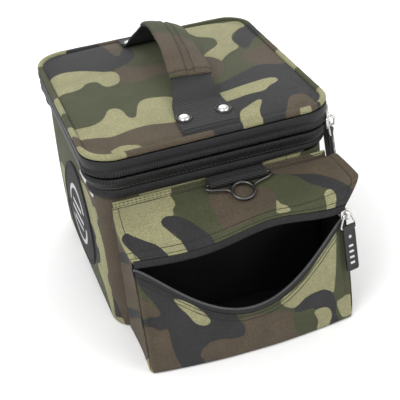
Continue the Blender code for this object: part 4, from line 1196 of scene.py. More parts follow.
panelShapes = [
    ("green", [(-140, 130), (-140, -30), (140, -30), (140, 130)]),
    ("charcoal", [(-96, 106), (-88, 82), (-80, 68), (-77, 60), (-80, 56), (-90, 55), (-98, 52), (-88, 45),
        (-75, 42), (-72, 35), (-72, 20), (-68, 5), (-65, -8), (-45, -8), (-48, 8), (-47, 15), (-43, 20),
        (-35, 23), (-28, 22), (-20, 20), (-12, 20), (-8, 28), (-12, 38), (-15, 44), (-25, 50), (-45, 62),
        (-62, 75), (-80, 92)]),
    ("brown", [(-104, 88), (-92, 78), (-85, 69), (-78, 62), (-77, 58), (-82, 56), (-92, 57), (-104, 58)]),
    ("brown", [(-106, 52), (-90, 48), (-80, 43), (-73, 42), (-72, 30), (-70, 15), (-66, -8), (-92, -8),
        (-106, 10)]),
    ("khaki", [(-64, 70), (-60, 61), (-55, 54), (-50, 45), (-45, 41), (-40, 40), (-37, 43), (-40, 50),
        (-46, 58), (-55, 66)]),
    ("brown", [(-49, 10), (-46, 18), (-38, 23), (-28, 22), (-18, 20), (-10, 22), (-8, 31), (-10, 39),
        (-4, 40), (10, 37), (25, 35), (33, 33), (36, 24), (37, 12), (40, -8), (-40, -8), (-45, 4)]),
    ("khaki", [(26, 44), (37, 34), (50, 40), (62, 41), (72, 38), (77, 33), (80, 46), (83, 70), (86, 100),
        (80, 104), (74, 84), (66, 72), (54, 60), (42, 52)]),
    ("charcoal", [(37, 31), (45, 37), (55, 40), (65, 41), (72, 38), (77, 32), (79, 22), (79, 10), (84, -8),
        (70, -8), (62, 3), (60, 18), (56, 26), (48, 27), (41, 28)]),
    ("khaki", [(57, 22), (64, 23), (71, 20), (74, 12), (71, 3), (64, -8), (59, 2), (60, 12)]),
    ("khaki", [(80, 22), (86, 24), (97, 23), (99, 10), (94, 4), (86, 4), (82, 12)]),
    ("khaki", [(-104, 24), (-94, 12), (-90, -8), (-104, -8)]),
]
gussetShapes = [
    ("brown", [(-200, 150), (-200, -30), (-90, -30), (-90, 150)]),
    ("charcoal", [(-186, 66), (-180, 52), (-150, 38), (-130, 27), (-104, 10), (-104, 22), (-130, 36),
        (-150, 50)]),
    ("charcoal", [(-186, 122), (-165, 112), (-155, 101), (-140, 100), (-125, 95), (-110, 86), (-102, 74),
        (-130, 84), (-160, 94), (-186, 96)]),
    ("khaki", [(-186, 24), (-166, 10), (-154, -8), (-186, -8)]),
    ("green", [(-186, 150), (-166, 116), (-140, 112), (-100, 120), (-100, 150)]),
]


def lipY(x):
    return pocket["axisY"] - np.sqrt(pocket["arc"] ** 2 - (x - pocket["middle"]) ** 2)


def lipRise(x):
    # the load in the pocket pushes the lip up, away from both ends
    return pocket["rise"] * np.exp(-((x - pocket["riseAt"]) / pocket["riseWide"]) ** 2)


def frontFace(x, z):
    share = np.clip((x - pocket["middle"]) / ((pocket["right"] - pocket["left"]) / 2), -1, 1)
    foot = -plan["halfY"] - pocket["footReach"] - pocket["footBow"] * (1 - share ** 2)
    return foot + (lipY(np.clip(x, pocket["left"], pocket["right"])) - foot) * z / pocket["slotLow"]


def mouthZ(share):
    return pocket["slotLow"] - pocket["sag"] * np.clip(1 - share ** 2, 0, 1) ** pocket["power"]


def makeFlap():
    x = np.linspace(pocket["left"], pocket["right"], 120)
    t = np.linspace(0, 1, 44)
    u, v = np.meshgrid((x - x[0]) / (x[-1] - x[0]), t)
    lip = lipY(x)[None]
    y = lip + (pocket["wallY"] - lip) * v
    low = pocket["lip"] + lipRise(x)[None]
    z = low + (pocket["seam"] - low) * v ** 1.15
    z += 0.0026 * np.sin(math.pi * v) ** 0.8
    z -= 0.0028 * np.exp(-((x[None] - 0.0155) / 0.022) ** 2 - ((v - 0.52) / 0.22) ** 2)
    # the stiff right end flares out and up; the left one hangs a little
    flare = np.clip((u - 0.70) / 0.30, 0, 1) ** 1.6
    swing = np.where(v < 0.22, np.sin(math.pi / 2 * np.clip(v / 0.22, 0, 1)), 1 - 0.52 * (v - 0.22) / 0.78)
    shifted = x[None] + pocket["flareX"] * flare * swing
    z += pocket["flareZ"] * flare * swing - 0.010 * flare * np.clip((v - 0.75) / 0.25, 0, 1) ** 2
    left = np.clip((0.10 - u) / 0.10, 0, 1) ** 2
    shifted -= 0.0035 * left * np.sin(math.pi * v)
    # creases: long shallow waves that fade out at the seam and the lip
    z += 0.0007 * np.sin(u * 17 + v * 4) * np.sin(math.pi * v) * np.sin(u * 5 + 1)
    y -= 0.0010 * np.sin(u * 9 + 2) * np.sin(math.pi * v)
    grid = np.stack([shifted, y, z], -1)
    # both side edges turn down over the gusset
    turnOver = []
    for column, inward in ((0, 1), (-1, -1)):
        edge = grid[:, column]
        steps = []
        for k in (1, 2, 3, 4):
            move = np.stack([inward * 0.0011 * k ** 1.3 + 0 * t, 0 * t, -0.0011 * k + 0 * t], -1)
            drop = inward * 0.0010 * (k > 2)
            steps.append(edge + move * np.array([0.55, 1, 1.35]) + np.array([drop, 0, 0]))
        turnOver.append(np.stack(steps, 1))
    grid = np.concatenate([turnOver[0][:, ::-1], grid, turnOver[1]], 1)
    inset = np.arange(1, 5) * 0.0015
    flatX = np.concatenate([x[0] - inset[::-1], x, x[-1] + inset])
    a, b = np.meshgrid(flatX, t * pocket["flapLength"])
    fields = paint(a * 1000, b * 1000, flapShapes)
    piece = gridPiece("flapCloth", grid, camoCloth, np.stack([a, b], -1), {"camoFields": fields})
    thicken(piece, pocket["thickness"])
    settle(piece, "bag", "camo_cloth", "pocket_flap")
    return grid


def flapRows(grid):
    along = np.linspace(0.035, 0.965, 160)
    rows = [onGrid(grid, along, np.full(160, share / pocket["flapLength"]))
            for share in (0.0021, 0.0076, 0.0532)]
    up = np.linspace(0.03, 0.97, 44)
    rows += [onGrid(grid, np.full(44, share), up) for share in (0.055, 0.945)]
    stitchPiece("flapStitches", rows, darkThread, "bag", "camo_cloth")


def makeSeamBinding():
    # the flap's back edge is turned and sewn to the wall in two rows
    x = np.linspace(pocket["left"] + 0.001, pocket["right"] + 0.003, 90)
    seam = pocket["seam"]
    z = np.array([seam - 0.0012, seam + 0.0004, seam + 0.0012, seam + 0.0030, seam + 0.0044, seam + 0.0046])
    out = np.array([0.0030, 0.0034, 0.0027, 0.0024, 0.0018, 0.0002])
    grid = np.stack(np.broadcast_arrays(x[None], -(plan["halfY"] + out)[:, None], z[:, None]), -1)
    a, b = np.meshgrid(x, z + 0.055 - seam)
    fields = paint(a * 1000, b * 1000, flapShapes)
    piece = gridPiece("flapSeamCloth", grid, camoCloth, np.stack([a, b], -1), {"camoFields": fields})
    settle(thicken(piece, 0.0009), "bag", "camo_cloth")
    rows = []
    for height, proud in ((seam + 0.0012, 0.0029), (seam + 0.0036, 0.0024)):
        line = np.stack([x, -(plan["halfY"] + proud) + 0 * x, height + 0 * x], -1)
        rows.append((line, np.tile([0.0, -1.0, 0.0], (len(x), 1))))
    stitchPiece("seamStitches", rows, darkThread, "bag", "camo_cloth")


def makePocketTapes():
    x = np.arange(pocket["left"] + 0.0015, pocket["right"] - 0.0015, zipSizes["step"])
    rib = np.abs(np.sin(math.pi * x / zipSizes["pitch"])) ** 0.8
    high = pocket["lip"] - 0.0006 + lipRise(x)
    low = high - pocket["tape"]
    share = np.array([0, 0.2, 0.9, 1, 1, 0.9, 0.3, 0])
    t = np.array([0, 0.10, 0.22, 0.4, 0.6, 0.78, 0.92, 1])
    z = low[None] + (high - low)[None] * t[:, None]
    y = lipY(x)[None] - 0.0003 - share[:, None] * (0.0004 + 0.0005 * rib[None])
    grid = np.stack(np.broadcast_arrays(x[None], y, z), -1)
    piece = gridPiece("pocketUpperZip", grid, zipCloth, grid[..., [0, 2]])
    settle(thicken(piece, 0.0009), "bag", "zip", "pocket_upper_tape")
    # lower tape follows the open mouth; its coil is a row of teeth along the top edge
    half = (pocket["right"] - pocket["left"]) / 2 - 0.0015
    s = np.linspace(-1, 1, 420)
    x = pocket["middle"] + half * s
    t = np.linspace(0, 1, 9)
    z = mouthZ(s)[None] - pocket["lowerTape"] * 1.15 * (1 - t[:, None])
    y = (frontFace(x[None], z) - 0.0030 * np.sin(math.pi * (s[None] + 1) / 2) * (1 - z / 0.104) - 0.0006
         - 0.0005 * np.sin(math.pi * t)[:, None])
    grid = np.stack(np.broadcast_arrays(x[None], y, z), -1)
    tape = gridPiece("pocketLowerZip", grid, zipCloth, np.stack(np.broadcast_arrays(x[None], z), -1))
    settle(thicken(tape, 0.0009), "bag", "zip", "pocket_lower_tape")
    edge = evenly(grid[-1], 0.0015)
    along = np.gradient(edge, axis=0)
    along /= np.linalg.norm(along, axis=1, keepdims=True)
    up = np.cross(along, np.array([0.0, 1.0, 0.0]))
    up *= np.sign(up[:, 2:3] + 1e-9)
    # one tooth: a small rounded loop over the edge
    turn = np.arange(6) * math.pi / 3
    ring = np.stack([0 * turn, np.cos(turn) * 0.0012, np.sin(turn) * 0.0010], -1)
    thick = np.array([-0.00046, 0.00046])
    points = []
    for k, scale in ((0, 0.55), (0, 1.0), (1, 1.0), (1, 0.55)):
        base = edge + along * thick[k] * (1.0 if scale == 1.0 else 1.25)
        points.append(base[:, None] + up[:, None] * ring[None, :, 1:2] * scale
                      + np.array([0.0, -1.0, 0.0]) * ring[None, :, 2:3] * scale)
    teeth = np.stack(points, 1)
    side = gridQuads(4, 6, wrapColumns=True)
    caps = np.array([[5, 4, 1, 0], [4, 3, 2, 1], [18, 19, 22, 23], [19, 20, 21, 22]])
    quads = np.vstack([side, caps])
    count = len(edge)
    allQuads = (quads[None] + np.arange(count)[:, None, None] * 24).reshape(-1, 4)
    settle(meshFrom("pocketTeeth", teeth, allQuads, toothSkin), "bag", "zip")


def makePanel():
    half = (pocket["right"] - pocket["left"]) / 2 - 0.0008
    s = np.linspace(-1, 1, 130)
    x = pocket["middle"] + half * s
    t = np.linspace(0, 1, 50)
    top = mouthZ(s) - pocket["lowerTape"]
    z = 0.0004 + (top - 0.0004)[None] * t[:, None]
    # rounded bottom edge, swollen belly and slack folds below the mouth
    u = (s[None] + 1) / 2
    belly = pocket["belly"] * np.sin(math.pi * u) * np.sin(math.pi * np.clip(z / 0.104, 0, 1)) ** 0.6
    slack = 0.0011 * np.sin(u * 23 + 6 * t[:, None]) * np.sin(math.pi * t[:, None]) * np.sin(math.pi * u)
    ends = np.clip((np.abs(s) - 0.70) / 0.25, 0, 1)[None] * np.sin(math.pi * np.clip(z / 0.1, 0, 1))
    slack = slack + 0.0012 * ends * np.sin(np.abs(s)[None] * 46)
    foot = 0.0035 - np.sqrt(np.maximum(0.0035 ** 2 - np.clip(0.0035 - z, 0, None) ** 2, 0))
    past = np.clip((np.abs(s) - 1) * half + 0.004, 0, None)
    corner = 0.004 - np.sqrt(np.maximum(0.004 ** 2 - past ** 2, 0))
    y = frontFace(x[None], z) - belly - slack + foot + corner[None]
    grid = np.stack(np.broadcast_arrays(x[None], y, z), -1)
    a = np.broadcast_to(x[None], z.shape)
    fields = paint(a * 1000, z * 1000, panelShapes)
    piece = gridPiece("pocketPanelCloth", grid, camoCloth, np.stack([a, z], -1), {"camoFields": fields})
    hold = np.zeros(z.shape)
    hold[:2] = hold[-2:] = 1
    hold[:, :3] = hold[:, -3:] = 1
    puff(piece, hold.ravel(), 1.6, 0.002)
    grid = gridOf(piece, grid.shape)
    thicken(piece, pocket["thickness"])
    settle(piece, "bag", "camo_cloth", "pocket_front_panel")
    rows = []
    lengths = np.maximum(top, 0.02)
    along = np.linspace(0.012, 0.988, 240)
    for drop in (0.0022, 0.0062):
        rows.append(onGrid(grid, along, 1 - drop / np.interp(along, (s + 1) / 2, lengths)))
    stitchPiece("panelStitches", rows, darkThread, "bag", "camo_cloth")
    return grid


def makeGusset():
    # the path runs down the left side, along the floor and up the right side
    radius, left, right = 0.0045, pocket["left"], pocket["right"]
    rowsT = np.linspace(0, 1, 22)
    turn = np.linspace(0, math.pi / 2, 6)
    grid = []
    flat = []
    for t in rowsT:
        height = 0.1290 + (0.1072 - 0.1290) * t
        down = np.linspace(height, radius, 34)
        across = np.linspace(left + radius, right - radius, 60)
        x = np.concatenate([left + 0 * down, left + radius * (1 - np.cos(turn[1:-1])), across,
                            right - radius * (1 - np.sin(turn[1:-1])), right + 0 * down])
        z = np.concatenate([down, radius * (1 - np.sin(turn[1:-1])), 0 * across,
                            radius * (1 - np.cos(turn[1:-1])), down[::-1]])
        z = np.maximum(z, 0.0002)
        share = np.clip(z / height, 0, 1)
        side = np.clip((np.abs(x - pocket["middle"]) - 0.080) / 0.012, 0, 1)
        inward = -np.sign(x - pocket["middle"]) * side
        fold = pocket["fold"] * np.sin(math.pi * t) * np.sin(math.pi * share ** 0.8)
        front = frontFace(x, z) + 0.0012 + 0.0035 * (1 - share) ** 8
        y = pocket["wallY"] + (front - pocket["wallY"]) * t
        z = z + 0.0012 * np.sin(math.pi * t) * (1 - side)
        grid.append(np.stack([x + inward * fold, y, z], -1))
        flat.append(np.stack([y, z + (x > 0) * 0.2], -1))
    grid = np.array(grid)
    flat = np.array(flat)
    leftSide = (np.arange(grid.shape[1]) < 38)[None]
    known = paint(grid[..., 1] * 1000, grid[..., 2] * 1000, gussetShapes)
    wild = wildCamo(grid[..., 1] * 1000 + grid[..., 0] * 900, grid[..., 2] * 1000 + grid[..., 0] * 300, 2.2)
    fields = np.where(leftSide[..., None], known, wild)
    piece = gridPiece("pocketGussetCloth", grid, camoCloth, flat, {"camoFields": fields})
    settle(thicken(piece, pocket["thickness"]), "bag", "camo_cloth", "pocket_gusset")
    return grid


def liner(name, grid, depth):
    inside = (grid - normals(grid) * depth)[:, ::-1]
    piece = gridPiece(name, inside, liningCloth, np.cumsum(np.ones(inside.shape[:2] + (2,)) * 0.003, 0))
    settle(piece, "bag", "lining")


flapGrid = makeFlap()
flapRows(flapGrid)
makeSeamBinding()
makePocketTapes()
panelGrid = makePanel()
gussetGrid = makeGusset()
liner("flapLining", flapGrid[:, 5:-5], 0.0016)
liner("panelLining", panelGrid, 0.0016)
liner("gussetLining", gussetGrid, 0.0016)


def makePocketBack():
    x = np.linspace(pocket["left"] + 0.0010, pocket["right"] - 0.0010, 40)
    z = np.linspace(0.0006, pocket["seam"] - 0.001, 40)
    a, b = np.meshgrid(x, z)
    swell = 0.0012 * np.sin(math.pi * (b / 0.13)) + 0.0006 * np.sin(a * 90) * np.sin(b * 60)
    y = -(plan["halfY"] + 0.0012 + swell)
    piece = gridPiece("pocketBackLining", np.stack([a, y, b], -1), liningCloth, np.stack([a, b], -1))
    settle(thicken(piece, 0.0005), "bag", "lining", "pocket_back_lining")


makePocketBack()
print("pocket done")


# handle
handle = {"arch": [(-0.0520, 0.1957), (-0.0360, 0.2010), (-0.0115, 0.2064), (0.0136, 0.2098),
                   (0.0350, 0.2116), (0.0500, 0.2103), (0.0610, 0.2060), (0.0700, 0.1990),
                   (0.0760, 0.1920), (0.0805, 0.1868)],
          "lean": 20.0, "sleeve": (-0.0430, 0.0620), "webHalf": 0.025, "webNarrow": 0.0172,
          "webThick": 0.0020, "sleeveWidth": 0.038, "sleeveDepth": 0.0088, "blendLow": 0.1855,
          "blendHigh": 0.1965}
sleeveShapes = [
    ("brown", [(-90, 30), (-90, -30), (70, -30), (70, 30)]),
    ("green", [(-60, -8), (-60, -30), (-36, -30), (-42, -14), (-44, -4), (-52, 2)]),
    ("green", [(10, 30), (14, 8), (22, -2), (20, -14), (26, -30), (56, -30), (52, 0), (56, 30)]),
]


def lidAt(y):
    # the lid's cloth on the middle line, as it lies after the simulation
    column = lidGrid[:, lidGrid.shape[1] // 2]
    return np.interp(y, column[:, 1], column[:, 2])


def handlePath():
    # (y, z) of the handle's middle line from the front edge of the lid to the back one
    edge = plan["halfY"] + 0.0018
    line = [(-edge, float(lidAt(-edge)) + 0.0010)]
    line += [(y, float(lidAt(y)) + 0.0014) for y in (-0.1055, -0.0985, -0.0915, -0.0850)]
    line += [(-0.0785, float(lidAt(-0.0785)) + 0.0020), (-0.0710, 0.1875), (-0.0620, 0.1920)] + handle["arch"]
    line += [(y, float(lidAt(y)) + 0.0014) for y in (0.0860, 0.0920, 0.0985, 0.1055)]
    line += [(edge, float(lidAt(edge)) + 0.0010)]
    return evenly(smoothLine(line), 0.0010)


def handleFrames(path):
    # the handle leans to the right with its height; across turns with it, and hardly at the front end
    rise = np.clip((path[:, 1] - 0.1845) / 0.012, 0, 1)
    level = np.clip((path[:, 0] + 0.056) / 0.060, 0, 1)
    share = rise * rise * (3 - 2 * rise) * (level * level * (3 - 2 * level) * 1.15 - 0.15)
    lean = math.radians(handle["lean"]) * share
    x = np.maximum(path[:, 1] - 0.1860, 0) * math.tan(math.radians(handle["lean"]))
    place = np.stack([x, path[:, 0], path[:, 1]], -1)
    along = np.gradient(place, axis=0)
    along /= np.linalg.norm(along, axis=1, keepdims=True)
    across = np.stack([np.cos(lean), 0 * lean, -np.sin(lean)], -1)
    across -= along * np.sum(across * along, 1, keepdims=True)
    across /= np.linalg.norm(across, axis=1, keepdims=True)
    return place, across, np.cross(across, along)


def makeWeb(name, first, last, nodes):
    place, across, out = (values[first:last] for values in handleFrames(handlePath()))
    rise = np.clip((place[:, 2] - 0.1840) / (0.1960 - 0.1840), 0, 1)
    half = handle["webHalf"] - (handle["webHalf"] - handle["webNarrow"]) * rise ** 0.8
    u = np.linspace(-1, 1, 41)
    bow = 0.0005 * (1 - u ** 2) - 0.0004 * np.clip((np.abs(u) - 0.93) / 0.07, 0, 1) ** 2
    grid = (place[:, None] + across[:, None] * (half[:, None] * u[None])[..., None]
            + out[:, None] * (bow[None] + 0.0008)[..., None])
    length = np.arange(len(place)) * 0.0010
    cloth = np.stack(np.meshgrid(u * handle["webHalf"], length), -1)
    piece = gridPiece(name, grid, webCloth, cloth)
    thicken(piece, handle["webThick"])
    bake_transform(piece)
    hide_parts(*nodes)
    ends = (0.035, 0.075) if first == 0 else (0.965, 0.925)
    rows = [onGrid(grid, np.linspace(0.04, 0.96, 40), np.full(40, share)) for share in ends]
    stitchPiece(name + "Stitches", rows, darkThread, "lid", "webbing")


def makeSleeve(first, last):
    place, side, out = (values[first:last] for values in handleFrames(handlePath()))
    y = place[:, 1]
    fromEnd = np.minimum(np.arange(len(y)), np.arange(len(y))[::-1]) * 0.0010
    angle = np.arange(56) * 2 * math.pi / 56
    # flat oval, with a sewn groove along the middle of the outer and inner face
    across = np.sign(np.cos(angle)) * np.abs(np.cos(angle)) ** 0.80 * handle["sleeveWidth"] / 2
    deep = np.sign(np.sin(angle)) * np.abs(np.sin(angle)) ** 0.75 * handle["sleeveDepth"] / 2
    groove = 1 - 0.42 * np.exp(-(across / 0.0016) ** 2)
    thick = 0.50 + 0.50 * np.sin(np.clip(fromEnd / 0.007, 0, 1) * math.pi / 2)
    pinch = 1 - 0.18 * np.exp(-((fromEnd - 0.0050) / 0.0012) ** 2)
    creases = 1 + 0.05 * np.sin(y * 190)[:, None] * np.cos(angle * 3)[None]
    deepGrid = deep[None] * groove[None] * (thick * pinch)[:, None] * creases
    grid = (place[:, None] + side[:, None] * across[None, :, None] * (0.97 + 0.03 * thick)[:, None, None]
            + out[:, None] * (deepGrid + 0.0004)[..., None])
    shown = np.concatenate([place[:1, None] + 0 * grid[:1], grid, place[-1:, None] + 0 * grid[:1]])
    a = np.broadcast_to(np.concatenate([y[:1], y, y[-1:]])[:, None] * 1000, shown.shape[:2])
    b = np.broadcast_to(across[None] * 1000, shown.shape[:2])
    fields = paint(a, b + 60 * (np.sin(angle) < -0.05)[None], sleeveShapes, seed=3.0)
    flat = np.stack([np.broadcast_to(across[None], shown.shape[:2]), a * mm], -1)
    piece = gridPiece("sleeveCloth", shown, camoCloth, flat, {"camoFields": fields}, wrapColumns=True)
    closeEnds(piece)
    settle(piece, "handle", "camo_cloth", "handle_sleeve", "handle_strap", "handle_pad")
    closed = np.concatenate([grid, grid[:, :1]], 1)
    rows = [(turn, np.linspace(0.02, 0.98, 110)) for turn in (0.25 - 0.020, 0.25 + 0.020)]
    rows = [onGrid(closed, np.full(110, turn), up) for turn, up in rows]
    rows += [onGrid(closed, np.linspace(0.03, 0.47, 40), np.full(40, up)) for up in (0.045, 0.955)]
    rows = [(spot, np.where(np.sum(normal * out[len(out) // 2], 1, keepdims=True) > 0, normal, -normal))
            for spot, normal in rows]
    stitchPiece("sleeveStitches", rows, darkThread, "handle", "camo_cloth")


def makeHandle():
    y = handlePath()[:, 0]
    start, end = (int(np.argmin(np.abs(y - edge))) for edge in handle["sleeve"])
    makeWeb("webFront", 0, start + 10, ["handle_anchor_front"])
    makeWeb("webBack", end - 10, len(y), ["handle_anchor_back"])
    makeSleeve(start, end + 1)


makeHandle()


def lathe(name, profile, place, axis, material, body, slot, node, count=40):
    # a profile of (radius, height) turned about an axis through place
    axis = np.asarray(axis, float) / np.linalg.norm(axis)
    first = np.cross(axis, [1.0, 0, 0])
    first /= np.linalg.norm(first)
    second = np.cross(axis, first)
    angle = np.arange(count) * 2 * math.pi / count
    profile = np.asarray(profile, float)
    ring = first[None] * np.cos(angle)[:, None] + second[None] * np.sin(angle)[:, None]
    grid = (np.asarray(place, float) + ring[None] * profile[:, None, :1] + axis * profile[:, None, 1:])
    piece = gridPiece(name, grid, material, None, None, wrapColumns=True)
    settle(closeEnds(piece), body, slot, node)


def makeRivets():
    for tag, sy in (("front_left", -1), ("front_right", -1), ("back_left", 1), ("back_right", 1)):
        low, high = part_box("rivet_washer_" + tag)
        centre = (low + high) / 2
        seat = float(lidAt(centre.y)) + 0.0020
        lean = (0, sy * 0.125, 1)
        place = (centre.x, centre.y, seat)
        turn = np.linspace(0, math.pi / 2, 9)
        washer = [(0.0, 0.0006), (0.0050, 0.0006), (0.0056, 0.0009), (0.0064, 0.0015), (0.0069, 0.0015),
                  (0.0074, 0.0009), (0.0075, 0.0002), (0.0074, -0.0006)]
        lathe("rivetWasher_" + tag, washer[::-1], place, lean, darkMetal, "lid", "gunmetal",
              "rivet_washer_" + tag)
        dome = [(0.0047 * math.cos(a), 0.0012 + 0.0016 * math.sin(a)) for a in turn]
        dome = [(0.0046, 0.0004), (0.0050, 0.0007), (0.0050, 0.0011)] + dome
        dome[-1] = (0.0, dome[-1][1])
        lathe("rivetCap_" + tag, dome, place, lean, nickel, "lid", "nickel", "rivet_cap_" + tag)


makeRivets()
print("handle done")


# rings and webbing loops
ringSizes = {"half": 0.025, "armRoom": 0.004, "drop": 0.0145, "eye": 0.0096, "wire": 0.0012,
             "eyeWire": 0.00155, "voxel": 0.00026, "loopRadius": 0.0037,
             "loopHigh": 0.1397, "loopLow": 0.1352, "loopThick": 0.0011}


def remeshSmooth(piece, voxel):
    remesh = piece.modifiers.new("weld", "REMESH")
    remesh.mode = "VOXEL"
    remesh.voxel_size = voxel
    smooth = piece.modifiers.new("soft", "SMOOTH")
    smooth.iterations = 4
    smooth.factor = 0.5
    graph = bpy.context.evaluated_depsgraph_get()
    mesh = bpy.data.meshes.new_from_object(piece.evaluated_get(graph))
    piece.modifiers.clear()
    piece.data = mesh
    mesh.shade_smooth()


def makeRing(name, body, pivot, sign, tilt, node):
    half, eye = ringSizes["half"] + ringSizes["armRoom"], ringSizes["eye"]
    armLine = [(half - 0.004, 0.0), (half - 0.0008, -0.0001), (half + 0.0001, -0.0018),
               (half - 0.0004, -0.0042), (half - 0.0040, -0.0062), (half - 0.0095, -0.0076),
               (eye + 0.0030, -0.0100), (eye - 0.0002, -0.0135)]
    parts = []
    for side in (1, -1):
        line = evenly(smoothLine([(side * x, z) for x, z in armLine]), 0.0004)
        path = np.stack([line[:, 0], 0 * line[:, 0], line[:, 1]], -1)
        parts.append(tubeParts(path, circle(ringSizes["wire"], 12), (0, 1, 0)))
    bar = np.stack([np.linspace(-half + 0.0008, half - 0.0008, 90), np.zeros(90), np.zeros(90)], -1)
    parts.append(tubeParts(bar, circle(ringSizes["wire"], 12), (0, 1, 0)))
    # where an arm meets the eye the metal is broader: short arcs side by side fill the corner
    for side in (1, -1):
        start = math.radians(30 if side > 0 else 150)
        for k in range(3):
            sweepAngle = start + np.linspace(-0.25, 0.55, 12) * -side
            radius = eye + 0.0009 * (k + 1) * np.linspace(1, 0.2, 12)
            path = np.stack([radius * np.cos(sweepAngle), 0 * radius,
                             -ringSizes["drop"] + radius * np.sin(sweepAngle)], -1)
            parts.append(tubeParts(path, circle(ringSizes["wire"] * 0.9, 10), (0, 1, 0)))
    turn = np.arange(120) * 2 * math.pi / 120
    eyePath = np.stack([eye * np.cos(turn), 0 * turn, -ringSizes["drop"] + eye * np.sin(turn)], -1)
    parts.append(tubeParts(eyePath, circle(ringSizes["eyeWire"], 14, 0.9), (0, 1, 0), True))
    points, quads = joined(parts)
    lean = math.radians(-tilt)
    x, y, z = points.T
    y, z = y * math.cos(lean) - z * math.sin(lean), y * math.sin(lean) + z * math.cos(lean)
    points = np.stack([x * -sign, y * -sign, z], -1) + np.array(pivot)
    piece = meshFrom(name, points, quads, gunmetal)
    remeshSmooth(piece, ringSizes["voxel"])
    settle(piece, body, "gunmetal", node)


def makeLoop(name, pivot, sign, node):
    # webbing folded round the bar, its two ends together under the black band
    z0 = pivot[2]
    radius = ringSizes["loopRadius"]
    turn = np.linspace(math.radians(62), math.radians(330), 24)
    high, low, wallY = ringSizes["loopHigh"], ringSizes["loopLow"], -plan["halfY"]
    section = [(wallY - 0.0012, high), (wallY - 0.0040, high - 0.0001)]
    section += [(-abs(pivot[1]) + radius * math.cos(a), z0 + radius * math.sin(a)) for a in turn]
    section += [(wallY - 0.0035, low - 0.0005), (wallY - 0.0012, low)]
    line = evenly(smoothLine(section), 0.0005)
    x = np.linspace(-1, 1, 60)
    rib = 0.00010 * np.sin(x * 60)
    roll = 0.0006 * np.clip((np.abs(x) - 0.96) / 0.04, 0, 1) ** 2
    along = np.gradient(line, axis=0)
    along /= np.linalg.norm(along, axis=1, keepdims=True)
    out = np.stack([-along[:, 1], along[:, 0]], -1)
    amount = (rib - roll)[None]
    grid = np.stack(np.broadcast_arrays(pivot[0] + ringSizes["half"] * x[None],
                                        line[:, None, 0] + out[:, None, 0] * amount,
                                        line[:, None, 1] + out[:, None, 1] * amount), -1)
    grid = grid[::-1]
    if sign > 0:
        grid = grid * np.array([-1, -1, 1]) + np.array([2 * pivot[0], 0, 0])
    cloth = np.stack(np.meshgrid(x * ringSizes["half"], np.arange(len(line)) * 0.0005), -1)
    piece = gridPiece(name, grid, webCloth, cloth)
    settle(thicken(piece, ringSizes["loopThick"]), "bag", "webbing", node)


for tag, sign, tilt in (("front", -1, 75), ("back", 1, 0)):
    swing = joints[tag + "_ring_swing"]
    makeRing(tag + "RingMetal", swing["child"], swing["pos_m"], sign, tilt, tag + "_ring")
    makeLoop(tag + "LoopWeb", swing["pos_m"], sign, tag + "_loop")
print("rings done")


# zip sliders, pulls and tabs
slider = {"length": 0.0112, "height": 0.0088, "wire": 0.00092, "barOut": 0.0035, "pullDrop": 0.0115,
          "tabWidth": 0.012, "tabLength": 0.042, "tabThick": 0.0022, "edge": 0.00045}
sliderPlaces = {
    "front": {"place": (0.1049, -0.09944, 0.160), "turn": 62.0, "lean": 0.0, "size": (1.3, 1.5, 1.3),
              "tilt": 12.0, "tabTilt": 6.0},
    "right": {"place": (0.108, -0.0795, 0.160), "turn": 90.0, "lean": 0.0, "size": (1.3, 1.5, 1.3),
              "tilt": 14.0, "tabTilt": 6.0},
    "pocket": {"place": (0.0885, -0.16173, 0.1023), "turn": 10.93, "lean": 8.97, "along": 0.0070},
}


def rotate(points, axis, degrees):
    a = math.radians(degrees)
    x, y, z = np.asarray(points, float).T
    if axis == "x":
        y, z = y * math.cos(a) - z * math.sin(a), y * math.sin(a) + z * math.cos(a)
    else:
        x, y = x * math.cos(a) - y * math.sin(a), x * math.sin(a) + y * math.cos(a)
    return np.stack([x, y, z], -1)


def roundedOutline(halfX, low, high, radius, inset, count=6):
    # counterclockwise rounded rectangle from low to high, moved in by inset
    radius = max(radius - inset, 0.00005)
    halfX, low, high = halfX - inset, low + inset, high - inset
    points = []
    for cx, cz, start in ((halfX - radius, low + radius, -90), (halfX - radius, high - radius, 0),
                          (-halfX + radius, high - radius, 90), (-halfX + radius, low + radius, 180)):
        for k in range(count + 1):
            a = math.radians(start + 90 * k / count)
            points.append((cx + radius * math.cos(a), cz + radius * math.sin(a)))
    return points


def plateParts(halfX, low, high, radius, steps):
    # a plate built of outlines: each step is (inset, y); the first and last are filled to a line
    rows = [[(x, y, z) for x, z in roundedOutline(halfX, low, high, radius, inset)] for inset, y in steps]
    grid = np.array(rows)
    middle = (low + high) / 2
    for index in (0, -1):
        flat = grid[index].copy()
        reach = np.maximum(abs(flat[:, 2] - middle), 1e-9)
        shrink = np.clip((abs(flat[:, 2] - middle) - halfX) / reach, 0, 1)
        flat[:, 2] = middle + (flat[:, 2] - middle) * shrink
        flat[:, 0] = 0
        grid = np.concatenate([flat[None], grid]) if index == 0 else np.concatenate([grid, flat[None]])
    return grid.reshape(-1, 3), gridQuads(len(grid), grid.shape[1], wrapColumns=True)[:, ::-1]


def placed(parts, prefix, hangs):
    # hangs is 0 for the slider itself, 1 for the pull on its bar and 2 for the tab on the pull
    where = sliderPlaces[prefix]
    tilt, lean = where.get("tilt", 0.0), -where["lean"] / 2
    points, quads = joined(parts)
    if hangs == 0:
        points = points * np.array(where.get("size", (1, 1, 1)))
    points = points + np.array([where.get("along", 0.0), 0, 0])
    if hangs == 2:
        points = rotate(points, "x", tilt - where.get("tabTilt", 0.0)) + np.array([0, 0, -slider["pullDrop"]])
    if hangs > 0:
        points = rotate(rotate(points, "x", -tilt), "x", lean) + np.array([0, -slider["barOut"], 0])
    return rotate(rotate(points, "x", lean), "z", where["turn"]) + np.array(where["place"]), quads


